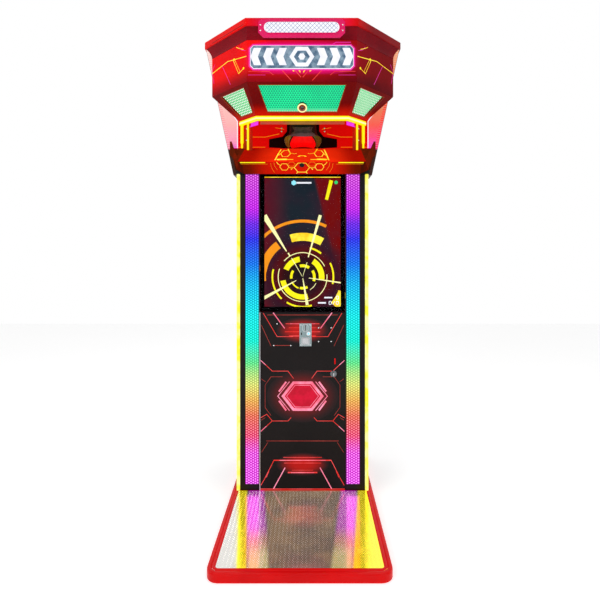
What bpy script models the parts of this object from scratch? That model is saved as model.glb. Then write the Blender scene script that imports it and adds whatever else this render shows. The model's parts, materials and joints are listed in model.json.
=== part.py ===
# Boxing punch machine, in metres, +Z up, front towards -Y, centred on its footprint.
# Driving dimensions come first, then shape helpers, then one section per group of pieces.
import bmesh
import bpy
from math import cos, pi, radians, sin
from mathutils import Matrix, Vector

GAP = 0.0003            # play between pieces that rest on each other

# Base platform
BASE_WIDTH = 0.667
BASE_DEPTH = 1.117
BASE_HEIGHT = 0.032
BASE_CORNER = 0.045
TREAD_INSET = 0.020
TREAD_THICKNESS = 0.003

# Column cabinet
COLUMN_WIDTH = 0.627
COLUMN_DEPTH = 0.480
REAR_STEP = 0.0195       # how far the platform shows behind the column
COLUMN_TOP = 1.537
BOARD = 0.018
LED_EDGE = 0.016
STILE_WIDTH = 0.110      # from the column's side to the screen opening
STILE_THICKNESS = 0.012
RGB_MARGIN = 0.0027      # black strip on the screen side of a light panel
RGB_WIDTH = 0.0673
RGB_FOOT = 0.031         # bare stile under a light panel
GLASS_HEIGHT = 0.655
GLASS_SETBACK = 0.0042
GLASS_THICKNESS = 0.004
DISPLAY_DEPTH = 0.030

COLUMN_REAR = BASE_DEPTH / 2 - REAR_STEP
COLUMN_FRONT = COLUMN_REAR - COLUMN_DEPTH
COLUMN_HALF = COLUMN_WIDTH / 2
STILE_INNER = COLUMN_HALF - STILE_WIDTH
STILE_FACE = COLUMN_FRONT + BOARD - STILE_THICKNESS
RGB_INNER = STILE_INNER + RGB_MARGIN
RGB_OUTER = RGB_INNER + RGB_WIDTH
GLASS_BOTTOM = COLUMN_TOP - GLASS_HEIGHT

# Front service door and what it carries
DOOR_FRONT = COLUMN_FRONT + GLASS_SETBACK
DOOR_FOOT_GAP = 0.005
DOOR_BOTTOM = BASE_HEIGHT + DOOR_FOOT_GAP
DOOR_CLEARANCE = 0.0021
KNUCKLE_RADIUS = 0.0022
HINGE_PIN_RADIUS = 0.0010
LEAF_THICKNESS = 0.0006
LEAF_DEPTH = 0.0187
COIN_X = 0.014
COIN_DROP = 0.109        # from the screen opening down to the coin plate's middle
COIN_Z = GLASS_BOTTOM - COIN_DROP
COIN_WIDTH = 0.058
COIN_HEIGHT = 0.109
COIN_PLATE_THICKNESS = 0.0035
FLAP_THICKNESS = 0.0010
LOCK_INSET = 0.0565      # from the door's free edge
LOCK_X = STILE_INNER - LOCK_INSET
LOCK_DROP = 0.295
LOCK_Z = GLASS_BOTTOM - LOCK_DROP
LOCK_RADIUS = 0.0095
CAM_REACH = LOCK_INSET + 0.0135

# Rear service door
REAR_DOOR_BOTTOM = BASE_HEIGHT + 0.0015
REAR_DOOR_CLEARANCE = 0.0006
REAR_DOOR_THICKNESS = 0.015

# Head: heights stand on the column's top, half widths follow its slanted sides.
# A plan is (front half width, front y, rear half width, rear y).
SIDE_FOOT = COLUMN_HALF + 0.0195    # outer half width of the slanted sides at the column top
SIDE_SLOPE = 0.218                  # how far they lean out for each metre of height
SIDE_BOARD = 0.015
HEAD_SPLIT_Y = COLUMN_FRONT + 0.0375    # front pieces end here, side boards start here
HEAD_TOP = COLUMN_TOP + 0.640
FASCIA_PLAN = (SIDE_FOOT - 0.0905, HEAD_SPLIT_Y - 0.2115, SIDE_FOOT + 0.104, HEAD_SPLIT_Y)
FASCIA_BOTTOM = COLUMN_TOP + 0.376
FASCIA_TOP = COLUMN_TOP + 0.560
FASCIA_WALL = 0.012
VISOR_PLAN = (SIDE_FOOT - 0.119, HEAD_SPLIT_Y - 0.0995, SIDE_FOOT - 0.0275, HEAD_SPLIT_Y)
VISOR_BOTTOM = COLUMN_TOP + 0.258
VISOR_WALL = 0.013
RIM_PLAN = (SIDE_FOOT - 0.088, HEAD_SPLIT_Y - 0.2515, SIDE_FOOT + 0.1395, HEAD_SPLIT_Y)
RIM_HEIGHT = 0.034
RIM_BOTTOM = HEAD_TOP - RIM_HEIGHT
RIM_REAR = COLUMN_REAR + 0.006
RIM_WALL = 0.012
COVE_TOP_PLAN = (SIDE_FOOT - 0.092, HEAD_SPLIT_Y - 0.2435, SIDE_FOOT + 0.1315, HEAD_SPLIT_Y)
COVE_WALL = 0.007
CHEEK_THICKNESS = 0.006
CHEEK_MARGIN = 0.007
CHEEK_KNEE = VISOR_BOTTOM + 0.002
MESH_THICKNESS = 0.002
SIGN_HALF_WIDTH = FASCIA_PLAN[0] - 0.0185
SIGN_BOTTOM = FASCIA_BOTTOM + 0.059
SIGN_TOP = SIGN_BOTTOM + 0.0965
SIGN_THICKNESS = 0.008
GRILLE_PLATE_HALF = RIM_PLAN[0] - 0.058
GRILLE_PLATE_TOP = HEAD_TOP - 0.011
GRILLE_PLATE_BOTTOM = GRILLE_PLATE_TOP - 0.078
GRILLE_HALF = GRILLE_PLATE_HALF - 0.023
GRILLE_TOP = GRILLE_PLATE_TOP - 0.011
GRILLE_BOTTOM = GRILLE_TOP - 0.0495
CAMERA_Z = VISOR_BOTTOM + 0.030
CAMERA_RADIUS = 0.0223
NEON_HEIGHT = 0.0205
NEON_DEPTH = 0.012
NEON_LEG_RADIUS = 0.005
POST_WIDTH_Y = 0.047
POST_THICKNESS = 0.012

# Tray under the punching space
TRAY_FRONT_HALF = SIDE_FOOT - 0.056
TRAY_REAR_HALF = SIDE_FOOT + 0.0105
TRAY_FRONT = HEAD_SPLIT_Y - 0.2315
CREASE_Z = COLUMN_TOP + 0.025
RIDGE_Z = COLUMN_TOP + 0.1285
TRAY_LIP = 0.003         # thickness of the tray's front edge
SHOULDER_Z = RIDGE_Z - 0.0325
EAR_Z = RIDGE_Z + 0.0345
EAR_THICKNESS = 0.008
CHIN_HALF = SIDE_FOOT - 0.0763
CHIN_Y = TRAY_FRONT + 0.045
CHIN_Z = COLUMN_TOP - 0.025
BUTTON_RADIUS = 0.0080
BUTTON_TRAVEL = 0.002
BUTTON_DEPTH = 0.0035
WELL_Z = RIDGE_Z - 0.0385
WELL_REAR = HEAD_SPLIT_Y + 0.1335

# Swinging bag
BAG_RADIUS = 0.0925
BAG_LENGTH = 0.170
PIVOT_Y = HEAD_SPLIT_Y + 0.0885
PIVOT_Z = COLUMN_TOP + 0.400
BAG_TOP_DROP = 0.100     # from the pivot to the bag's top
SHAFT_RADIUS = 0.010
SHAFT_CLEARANCE = 0.0003
HUB_RADIUS = 0.022
HUB_HALF = 0.024
ARM_RADIUS = 0.012
FLANGE_RADIUS = 0.032
DISC_RADIUS = 0.030      # latch disc on the arm's hub
DISC_REACH = 0.016
ENCODER_RADIUS = 0.034
PLATE_HALF = 0.052       # inner faces of the pivot frame's cheeks
PLATE_THICKNESS = 0.006
BEARING_RADIUS = 0.022
BEARING_WIDTH = 0.014
PAWL_OFFSET = 0.015      # pawl's pin behind the shaft
PAWL_PIVOT_RISE = 0.085
PAWL_HALF = 0.006
PLUNGER_RISE = 0.125
PLUNGER_TRAVEL = 0.006
PLUNGER_RADIUS = 0.0045

# Wall behind the bag, with the opening that the bag swings through
WALL_FRONT = PIVOT_Y + 0.0153
WALL_THICKNESS = 0.015
HOLE_PLAY = 0.0115       # clear space beside the bag's widest part
HOLE_WING = 0.068        # further reach of the opening's wings
CEILING_Z = COLUMN_TOP + 0.340
CEILING_THICKNESS = 0.012
CEILING_REAR = PIVOT_Y - 0.027
WALL_TOP = CEILING_Z - 0.0005

ROOF_PANEL_Z = FASCIA_TOP + GAP

materials = {}


def material(name, color, roughness=0.5, metallic=0.0, glow=0.0):
    """One Principled material for each finish, made once."""
    if name not in materials:
        made = bpy.data.materials.new(name)
        made.use_nodes = True
        shader = made.node_tree.nodes["Principled BSDF"]
        shader.inputs["Base Color"].default_value = (*color, 1.0)
        shader.inputs["Roughness"].default_value = roughness
        shader.inputs["Metallic"].default_value = metallic
        shader.inputs["Emission Color"].default_value = (*color, 1.0)
        shader.inputs["Emission Strength"].default_value = glow
        materials[name] = made
    return materials[name]


RED = ("red_gloss", (0.62, 0.02, 0.02), 0.25)
BLACK = ("black_board", (0.03, 0.02, 0.02), 0.45)
STEEL = ("steel", (0.60, 0.60, 0.62), 0.30, 1.0)
ZINC = ("zinc_plate", (0.55, 0.56, 0.58), 0.40, 1.0)
YELLOW = ("yellow_light", (1.0, 0.85, 0.05), 0.40, 0.0, 1.0)
VIOLET = ("colour_light_panel", (0.6, 0.2, 0.9), 0.40, 0.0, 0.5)
GREEN = ("green_mesh", (0.10, 0.85, 0.50), 0.40, 0.0, 0.6)
PINK = ("pink_mesh", (0.95, 0.45, 0.45), 0.40, 0.0, 0.5)
GLASS = ("screen_glass", (0.03, 0.03, 0.04), 0.05)
PANEL = ("display_panel", (0.05, 0.05, 0.07), 0.30)
WHITE = ("white_light", (0.9, 0.9, 0.95), 0.35, 0.0, 0.6)
LEATHER = ("bag_leather", (0.55, 0.03, 0.03), 0.50)
RUBBER = ("black_rubber", (0.02, 0.02, 0.02), 0.80)
PLASTIC = ("black_plastic", (0.03, 0.03, 0.03), 0.45)
CIRCUIT = ("green_circuit", (0.02, 0.22, 0.08), 0.50)


def add_object(name, mesh, finish):
    made = bpy.data.objects.new(name, mesh)
    bpy.context.scene.collection.objects.link(made)
    mesh.materials.append(material(*finish))
    return made


def from_bmesh(name, shape, finish, smooth=False):
    bmesh.ops.recalc_face_normals(shape, faces=shape.faces)
    mesh = bpy.data.meshes.new(name)
    shape.to_mesh(mesh)
    shape.free()
    if smooth:
        mesh.shade_smooth()
        mesh.set_sharp_from_angle(angle=radians(35))
    return add_object(name, mesh, finish)


def hull(name, points, finish):
    """The convex solid that spans the points."""
    shape = bmesh.new()
    verts = [shape.verts.new(point) for point in points]
    found = bmesh.ops.convex_hull(shape, input=verts)
    loose = [item for item in found["geom_interior"] if isinstance(item, bmesh.types.BMVert)]
    bmesh.ops.delete(shape, geom=loose, context="VERTS")
    return from_bmesh(name, shape, finish)


def box(name, low, high, finish):
    """A board or block between two corners."""
    spans = list(zip(low, high))
    points = [(x, y, z) for x in spans[0] for y in spans[1] for z in spans[2]]
    return hull(name, points, finish)


def prism(name, outline, axis, low, high, finish):
    """An outline carried along an axis; its points are the other two coordinates in X, Y, Z order."""
    shape = bmesh.new()
    rings = []
    for level in (low, high):
        rings.append([shape.verts.new(insert(point, axis, level)) for point in outline])
    shape.faces.new(rings[0])
    shape.faces.new(list(reversed(rings[1])))
    for here in range(len(outline)):
        after = (here + 1) % len(outline)
        shape.faces.new((rings[0][here], rings[0][after], rings[1][after], rings[1][here]))
    return from_bmesh(name, shape, finish)


def insert(point, axis, level):
    full = list(point)
    full.insert(axis, level)
    return tuple(full)


def rod(name, start, end, radius, finish, sides=20):
    """A round bar between two points."""
    start, end = Vector(start), Vector(end)
    along = end - start
    turn = along.to_track_quat("Z", "Y").to_matrix().to_4x4()
    place = Matrix.Translation((start + end) / 2) @ turn
    shape = bmesh.new()
    bmesh.ops.create_cone(shape, cap_ends=True, segments=sides, radius1=radius, radius2=radius,
                          depth=along.length, matrix=place)
    return from_bmesh(name, shape, finish, smooth=True)


def turned(name, profile, centre, finish, sides=28):
    """A solid turned about the vertical through centre; profile rows are (radius, z), poles at radius 0."""
    shape = bmesh.new()
    rings = []
    for radius, z in profile:
        if radius == 0:
            rings.append([shape.verts.new((centre[0], centre[1], z))])
            continue
        angles = [2 * pi * step / sides for step in range(sides)]
        rings.append([shape.verts.new((centre[0] + radius * cos(a), centre[1] + radius * sin(a), z))
                      for a in angles])
    for upper, lower in zip(rings, rings[1:]):
        for here in range(sides):
            after = (here + 1) % sides
            corners = [upper[here % len(upper)], upper[after % len(upper)],
                       lower[after % len(lower)], lower[here % len(lower)]]
            shape.faces.new(list(dict.fromkeys(corners)))
    return from_bmesh(name, shape, finish, smooth=True)


def shape_with(target, tool, operation):
    """Cut a tool out of the target, or weld it on; the tool is a guide and not a piece."""
    modifier = target.modifiers.new(tool.name, "BOOLEAN")
    modifier.object = tool
    modifier.operation = operation
    modifier.solver = "EXACT"
    tool.hide_render = True
    tool.display_type = "WIRE"


def cut(target, tool):
    shape_with(target, tool, "DIFFERENCE")


def weld(target, tool):
    shape_with(target, tool, "UNION")


def hang_on(target, pivot):
    """Put the origin on the joint's axis and leave the shape where it is."""
    target.data.transform(Matrix.Translation(-Vector(pivot)))
    target.location = pivot


def mirrored(points):
    return [(-x, y, z) for x, y, z in points]


def both_sides(points):
    return points + mirrored(points)


def inset_plan(plan, depth):
    """A plan moved inwards by a wall's depth, its corners kept on the moved lines."""
    front_x, front_y, rear_x, rear_y = plan
    along = Vector((rear_x - front_x, rear_y - front_y)).normalized()
    start = Vector((front_x, front_y)) + depth * Vector((-along.y, along.x))
    corner_x = start.x + along.x * (front_y + depth - start.y) / along.y
    end_x = start.x + along.x * (rear_y - start.y) / along.y
    return (corner_x, front_y + depth, end_x, rear_y)


def blend_plans(first, second, share):
    return tuple(a + (b - a) * share for a, b in zip(first, second))


def plan_line(plan):
    """The plan's four corners, from left to right."""
    front_x, front_y, rear_x, rear_y = plan
    return [(-rear_x, rear_y), (-front_x, front_y), (front_x, front_y), (rear_x, rear_y)]


def plan_x_at(plan, y):
    """Half width of the plan's slanted side at a depth."""
    front_x, front_y, rear_x, rear_y = plan
    return front_x + (rear_x - front_x) * (y - front_y) / (rear_y - front_y)


def bent_board(name, low_plan, low_z, high_plan, high_z, wall, finish):
    """A board folded round the head's three front faces."""
    shape = bmesh.new()
    rails = []
    for plan, z in ((low_plan, low_z), (high_plan, high_z),
                    (inset_plan(high_plan, wall), high_z), (inset_plan(low_plan, wall), low_z)):
        rails.append([shape.verts.new((x, y, z)) for x, y in plan_line(plan)])
    for lower, upper in zip(rails, rails[1:] + rails[:1]):
        for here in range(3):
            shape.faces.new((lower[here], lower[here + 1], upper[here + 1], upper[here]))
    shape.faces.new([rail[0] for rail in rails])
    shape.faces.new([rail[3] for rail in reversed(rails)])
    return from_bmesh(name, shape, finish)


def visor_plan(z):
    return blend_plans(VISOR_PLAN, FASCIA_PLAN, (z - VISOR_BOTTOM) / (FASCIA_BOTTOM - VISOR_BOTTOM))


def side_outer(z):
    return SIDE_FOOT + SIDE_SLOPE * (z - COLUMN_TOP - GAP)


def side_inner(z):
    return side_outer(z) - SIDE_BOARD


def tray_z(y):
    """Height of the tray's sloping top."""
    return CREASE_Z + (RIDGE_Z - CREASE_Z) * (y - TRAY_FRONT) / (HEAD_SPLIT_Y - TRAY_FRONT)


def tray_half(y):
    share = (y - TRAY_FRONT) / (HEAD_SPLIT_Y - TRAY_FRONT)
    return TRAY_FRONT_HALF + (TRAY_REAR_HALF - TRAY_FRONT_HALF) * share


# ---- base ----

def build_base():
    half_x, half_y = BASE_WIDTH / 2, BASE_DEPTH / 2
    corner_steps = [radians(step * 15) for step in range(7)]
    front = [(half_x - BASE_CORNER + BASE_CORNER * sin(a), -half_y + BASE_CORNER - BASE_CORNER * cos(a))
             for a in corner_steps]
    outline = front + [(half_x, half_y), (-half_x, half_y)] + [(-x, y) for x, y in reversed(front)]
    prism("base_platform", outline, 2, 0.0, BASE_HEIGHT, RED)
    low = (-half_x + TREAD_INSET, -half_y + TREAD_INSET, BASE_HEIGHT + GAP)
    high = (half_x - TREAD_INSET, COLUMN_FRONT - GAP, BASE_HEIGHT + GAP + TREAD_THICKNESS)
    box("tread_plate", low, high, STEEL)


# ---- column ----

def build_column():
    half = COLUMN_HALF
    foot = BASE_HEIGHT + GAP
    inner = half - BOARD
    for side, sign in (("left", -1), ("right", 1)):
        def span(name, x_low, x_high, y_low, y_high, z_low, z_high, finish):
            xs = sorted((sign * x_low, sign * x_high))
            return box(f"{name}_{side}", (xs[0], y_low, z_low), (xs[1], y_high, z_high), finish)
        span("led_edge", half - LED_EDGE, half, COLUMN_FRONT, COLUMN_FRONT + BOARD, foot, COLUMN_TOP, YELLOW)
        span("column_side", inner, half, COLUMN_FRONT + BOARD + GAP, COLUMN_REAR, foot, COLUMN_TOP, BLACK)
        span("column_stile", STILE_INNER, half - LED_EDGE - GAP, STILE_FACE, COLUMN_FRONT + BOARD,
             foot, COLUMN_TOP, BLACK)
        span("rgb_panel", RGB_INNER, RGB_OUTER, COLUMN_FRONT, STILE_FACE - GAP,
             BASE_HEIGHT + RGB_FOOT, COLUMN_TOP, VIOLET)
    glass_half = STILE_INNER - GAP
    glass_rear = DOOR_FRONT + GLASS_THICKNESS
    box("screen_glass", (-glass_half, DOOR_FRONT, GLASS_BOTTOM), (glass_half, glass_rear, COLUMN_TOP), GLASS)
    box("display_panel", (-glass_half, glass_rear + GAP, GLASS_BOTTOM),
        (glass_half, glass_rear + GAP + DISPLAY_DEPTH, COLUMN_TOP - GAP), PANEL)


# ---- front door, coin parts and lock ----

def hinge_axis():
    return (-(STILE_INNER - DOOR_CLEARANCE / 2), COLUMN_FRONT - GAP)


def build_door_hinge(door_top):
    x, y = hinge_axis()
    stile_side = -(STILE_INNER - GAP)
    door_side = -(STILE_INNER - DOOR_CLEARANCE + GAP)
    third = (door_top - DOOR_BOTTOM) / 3
    play = 2 * GAP
    first, second = DOOR_BOTTOM + third, DOOR_BOTTOM + 2 * third
    leaf_front = y + KNUCKLE_RADIUS + GAP
    fixed = box("door_hinge_fixed", (stile_side, leaf_front, DOOR_BOTTOM),
                (stile_side + LEAF_THICKNESS, leaf_front + LEAF_DEPTH, door_top), STEEL)
    spans = (("low", DOOR_BOTTOM, first), ("high", second, door_top))
    for label, low, high in spans:
        weld(fixed, box(f"tab_fixed_{label}", (stile_side + 0.00005, y, low + 0.0001),
                        (stile_side + LEAF_THICKNESS - 0.00005, leaf_front + 0.001, high - 0.0001), STEEL))
        weld(fixed, rod(f"knuckle_fixed_{label}", (x, y, low), (x, y, high), KNUCKLE_RADIUS, STEEL, 16))
    weld(fixed, rod("hinge_pin", (x, y, DOOR_BOTTOM + 0.002), (x, y, door_top - 0.002), HINGE_PIN_RADIUS,
                    STEEL, 12))
    moving = box("door_hinge_moving", (door_side - LEAF_THICKNESS, leaf_front, DOOR_BOTTOM),
                 (door_side, leaf_front + LEAF_DEPTH, door_top), STEEL)
    weld(moving, box("tab_moving", (door_side - LEAF_THICKNESS + 0.00005, y, first + play + 0.0001),
                     (door_side - 0.00005, leaf_front + 0.001, second - play - 0.0001), STEEL))
    weld(moving, rod("knuckle_moving", (x, y, first + play), (x, y, second - play), KNUCKLE_RADIUS,
                     STEEL, 16))
    cut(moving, rod("hinge_bore", (x, y, first), (x, y, second), HINGE_PIN_RADIUS + GAP, STEEL, 12))
    hang_on(moving, (x, y, DOOR_BOTTOM))


def build_door():
    door_top = GLASS_BOTTOM - 0.003
    left = -(STILE_INNER - DOOR_CLEARANCE)
    right = STILE_INNER - DOOR_CLEARANCE / 2
    rear = DOOR_FRONT + BOARD
    door = box("service_door", (left, DOOR_FRONT, DOOR_BOTTOM), (right, rear, door_top), BLACK)
    slot = box("coin_cutout", (COIN_X - 0.022, DOOR_FRONT - 0.01, COIN_Z - 0.046),
               (COIN_X + 0.022, rear + 0.01, COIN_Z + 0.046), STEEL)
    cut(door, slot)
    cut(door, rod("lock_bore", (LOCK_X, DOOR_FRONT - 0.01, LOCK_Z), (LOCK_X, rear + 0.01, LOCK_Z),
                  LOCK_RADIUS + GAP, STEEL))
    build_door_hinge(door_top)
    hang_on(door, (*hinge_axis(), DOOR_BOTTOM))

    plate_front = DOOR_FRONT - GAP - COIN_PLATE_THICKNESS
    plate = box("coin_plate", (COIN_X - COIN_WIDTH / 2, plate_front, COIN_Z - COIN_HEIGHT / 2),
                (COIN_X + COIN_WIDTH / 2, DOOR_FRONT - GAP, COIN_Z + COIN_HEIGHT / 2), STEEL)
    cut(plate, box("coin_slot", (COIN_X - 0.0025, plate_front - 0.01, COIN_Z + 0.020),
                   (COIN_X + 0.0007, DOOR_FRONT + 0.01, COIN_Z + 0.046), STEEL))
    button_z = COIN_Z + 0.006
    button_x = COIN_X + 0.0145
    cut(plate, rod("button_bore", (button_x, plate_front - 0.01, button_z),
                   (button_x, DOOR_FRONT + 0.01, button_z), 0.0070, STEEL))
    cup = (0.016, 0.030)    # half width and height of the coin return's mouth
    cup_bottom = COIN_Z - 0.044
    cut(plate, box("return_mouth", (COIN_X - cup[0], plate_front - 0.01, cup_bottom),
                   (COIN_X + cup[0], DOOR_FRONT + 0.01, cup_bottom + cup[1]), STEEL))
    hang_on(plate, (*hinge_axis(), DOOR_BOTTOM))

    button = rod("coin_return_button", (button_x, plate_front - 0.004, button_z),
                 (button_x, DOOR_FRONT + 0.006, button_z), 0.0067, RED)
    hang_on(button, (button_x, plate_front, button_z))

    flap_top = cup_bottom + cup[1] - FLAP_THICKNESS - GAP
    flap_y = plate_front + 0.0016
    flap = box("coin_return_flap", (COIN_X - cup[0] + GAP, flap_y, cup_bottom + GAP),
               (COIN_X + cup[0] - GAP, flap_y + FLAP_THICKNESS, flap_top), STEEL)
    hang_on(flap, (COIN_X, flap_y, flap_top))

    mech = box("coin_mechanism", (COIN_X - 0.0215, DOOR_FRONT + 0.0012, COIN_Z - 0.0455),
               (COIN_X + 0.0215, rear + 0.065, COIN_Z + 0.0455), PLASTIC)
    cut(mech, box("return_cup", (COIN_X - cup[0] - 0.001, DOOR_FRONT - 0.01, cup_bottom - 0.0002),
                  (COIN_X + cup[0] + 0.001, rear + 0.030, cup_bottom + cup[1] + 0.001), PLASTIC))
    cut(mech, rod("button_well", (button_x, DOOR_FRONT - 0.01, button_z),
                  (button_x, DOOR_FRONT + 0.012, button_z), 0.0075, PLASTIC))
    hang_on(mech, (*hinge_axis(), DOOR_BOTTOM))
    build_lock(rear)


def build_lock(rear):
    lock = rod("door_lock", (LOCK_X, DOOR_FRONT - 0.004, LOCK_Z), (LOCK_X, rear + 0.004, LOCK_Z),
               LOCK_RADIUS, STEEL)
    weld(lock, rod("lock_flange", (LOCK_X, DOOR_FRONT - 0.003, LOCK_Z), (LOCK_X, DOOR_FRONT - GAP, LOCK_Z),
                   LOCK_RADIUS + 0.003, STEEL))
    weld(lock, box("lock_cam", (LOCK_X - 0.007, rear + GAP, LOCK_Z - CAM_REACH),
                   (LOCK_X + 0.007, rear + 0.003, LOCK_Z + 0.007), STEEL))
    weld(lock, box("lock_key", (LOCK_X - 0.001, DOOR_FRONT - 0.026, LOCK_Z - 0.006),
                   (LOCK_X + 0.001, DOOR_FRONT - 0.002, LOCK_Z + 0.010), STEEL))
    hang_on(lock, (LOCK_X, DOOR_FRONT, LOCK_Z))


# ---- rear door and what the cabinet holds ----

def build_rear():
    inner = COLUMN_HALF - BOARD
    door_half = inner - REAR_DOOR_CLEARANCE
    door = box("rear_door", (-door_half, COLUMN_REAR - REAR_DOOR_THICKNESS, REAR_DOOR_BOTTOM),
               (door_half, COLUMN_REAR, COLUMN_TOP - 0.0015), BLACK)
    hang_on(door, (door_half, COLUMN_REAR, REAR_DOOR_BOTTOM))
    floor = BASE_HEIGHT + GAP
    front = COLUMN_FRONT + 0.071
    cash_half, cash_depth, cash_wall = 0.100, 0.250, 0.003
    cash = box("cash_box", (COIN_X - cash_half, front, floor),
               (COIN_X + cash_half, front + cash_depth, floor + 0.160), ZINC)
    cut(cash, box("cash_hollow", (COIN_X - cash_half + cash_wall, front + cash_wall, floor + cash_wall),
                  (COIN_X + cash_half - cash_wall, front + cash_depth - cash_wall, floor + 0.200), ZINC))
    board_low, supply_low = GLASS_BOTTOM + 0.045, floor + 0.345
    box("control_board", (inner - GAP - 0.012, front + 0.070, board_low),
        (inner - GAP, front + 0.290, board_low + 0.300), CIRCUIT)
    box("power_supply", (-inner + GAP, front + 0.050, supply_low),
        (-inner + GAP + 0.060, front + 0.250, supply_low + 0.150), PLASTIC)
    outside = COLUMN_HALF + GAP
    inlet_low = BASE_HEIGHT + 0.065
    box("mains_inlet", (outside, COLUMN_REAR - 0.089, inlet_low),
        (outside + 0.006, COLUMN_REAR - 0.039, inlet_low + 0.035), PLASTIC)


# ---- head casing ----

def build_head():
    floor = COLUMN_TOP + GAP
    rear_start = HEAD_SPLIT_Y + GAP
    box("head_floor", (-side_inner(floor) + GAP, COLUMN_FRONT, floor),
        (side_inner(floor) - GAP, COLUMN_REAR, floor + BOARD), BLACK)
    side_top = RIM_BOTTOM - GAP
    for side, sign in (("left", -1), ("right", 1)):
        points = [(sign * edge(z), y, z) for edge in (side_outer, side_inner)
                  for y in (rear_start, COLUMN_REAR) for z in (floor, side_top)]
        hull(f"head_side_{side}", points, PINK)
    back_low, back_high = floor + BOARD + GAP, side_top
    back = [(side_inner(z) - 2 * GAP, y, z) for z in (back_low, back_high)
            for y in (COLUMN_REAR - SIDE_BOARD, COLUMN_REAR)]
    hull("head_back", both_sides(back), BLACK)

    roof_plan = inset_plan(FASCIA_PLAN, 0.0115)
    roof_low, roof_high = ROOF_PANEL_Z, ROOF_PANEL_Z + SIDE_BOARD
    side_room = side_inner(roof_low) - GAP * 2
    roof_rear = COLUMN_REAR - SIDE_BOARD - GAP
    roof = [(x, y, z) for z in (roof_low, roof_high)
            for x, y in ((roof_plan[0], roof_plan[1]), (roof_plan[2], HEAD_SPLIT_Y),
                         (min(side_room, roof_plan[2] + 0.012), HEAD_SPLIT_Y + 0.02), (side_room, roof_rear))]
    hull("roof_panel", both_sides(roof), BLACK)

    cap = hull("roof_cap", both_sides(rim_points(0.0, RIM_BOTTOM, HEAD_TOP)), RED)
    cut(cap, hull("cap_hollow", both_sides(rim_points(RIM_WALL, RIM_BOTTOM - 0.02, HEAD_TOP - 0.006)), RED))
    bent_board("cornice_cove", FASCIA_PLAN, FASCIA_TOP + GAP, COVE_TOP_PLAN, RIM_BOTTOM - GAP, COVE_WALL, RED)
    bent_board("fascia", FASCIA_PLAN, FASCIA_BOTTOM + GAP, FASCIA_PLAN, FASCIA_TOP, FASCIA_WALL, RED)
    build_cheeks()
    build_sign()


def rim_points(wall, low, high):
    front_x, front_y, rear_x, rear_y = inset_plan(RIM_PLAN, wall)
    corners = ((front_x, front_y), (RIM_PLAN[2] - wall, rear_y), (RIM_PLAN[2] - wall, RIM_REAR - wall))
    return [(x, y, z) for x, y in corners for z in (low, high)]


def cheek_inner(z):
    """Half width of the cheek's edge that follows the visor's rear edge."""
    share = max(0.0, (z - CHEEK_KNEE) / (FASCIA_BOTTOM - CHEEK_KNEE))
    inner_x = VISOR_PLAN[2] + CHEEK_MARGIN
    return inner_x + (side_inner(FASCIA_BOTTOM) - GAP - inner_x) * share


def build_cheeks():
    """Lit mesh boards beside the punching space, between the posts and the slanted sides."""
    low, high = RIDGE_Z + 0.0023, FASCIA_BOTTOM
    y = HEAD_SPLIT_Y + GAP
    for side, sign in (("left", -1), ("right", 1)):
        outline = [(sign * cheek_inner(low), low), (sign * (side_inner(low) - GAP), low),
                   (sign * cheek_inner(high), high), (sign * cheek_inner(CHEEK_KNEE), CHEEK_KNEE)]
        prism(f"cheek_{side}", outline, 1, y, y + CHEEK_THICKNESS, PINK)


def build_sign():
    front = FASCIA_PLAN[1] - GAP
    notch = 0.012
    box_w, low, high = SIGN_HALF_WIDTH, SIGN_BOTTOM, SIGN_TOP
    half = [(box_w - notch, low), (box_w, low + notch), (box_w, high - notch), (box_w - notch, high)]
    outline = half + [(-x, z) for x, z in reversed(half)]
    prism("sign_plate", outline, 1, front - SIGN_THICKNESS, front, WHITE)

    rim_front = RIM_PLAN[1] - GAP
    chamfer = 0.022
    half = [(GRILLE_PLATE_HALF - chamfer, GRILLE_PLATE_BOTTOM),
            (GRILLE_PLATE_HALF, GRILLE_PLATE_BOTTOM + chamfer),
            (GRILLE_PLATE_HALF, GRILLE_PLATE_TOP - chamfer / 2),
            (GRILLE_PLATE_HALF - chamfer / 2, GRILLE_PLATE_TOP)]
    outline = half + [(-x, z) for x, z in reversed(half)]
    grille = prism("top_light_grille", outline, 1, rim_front - 0.0055, rim_front, WHITE)
    end = (GRILLE_TOP - GRILLE_BOTTOM) / 2
    middle = (GRILLE_TOP + GRILLE_BOTTOM) / 2
    arc = [radians(-90 + 22.5 * step) for step in range(9)]
    half = [(GRILLE_HALF - end + end * cos(a), middle + end * sin(a)) for a in arc]
    outline = half + [(-x, z) for x, z in reversed(half)]
    weld(grille, prism("grille_lens", outline, 1, rim_front - 0.0095, rim_front - 0.003, WHITE))


# ---- visor, its mesh, camera and neon ----

def facet_point(side, across, down):
    """A point on a visor face: across from its front or left edge, down from its top, both 0 to 1."""
    plan = visor_plan(FASCIA_BOTTOM + (VISOR_BOTTOM - FASCIA_BOTTOM) * down)
    z = FASCIA_BOTTOM + (VISOR_BOTTOM - FASCIA_BOTTOM) * down
    front_x, front_y, rear_x, rear_y = plan
    if side == "front":
        return Vector((-front_x + 2 * front_x * across, front_y, z))
    sign = -1 if side == "left" else 1
    return Vector((sign * (front_x + (rear_x - front_x) * across), front_y + (rear_y - front_y) * across, z))


def window_tool(name, side, corners):
    points = [facet_point(side, across, down) for across, down in corners]
    normal = (points[1] - points[0]).cross(points[3] - points[0]).normalized()
    return hull(name, [point + normal * depth for point in points for depth in (-0.03, 0.03)], GREEN)


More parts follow.
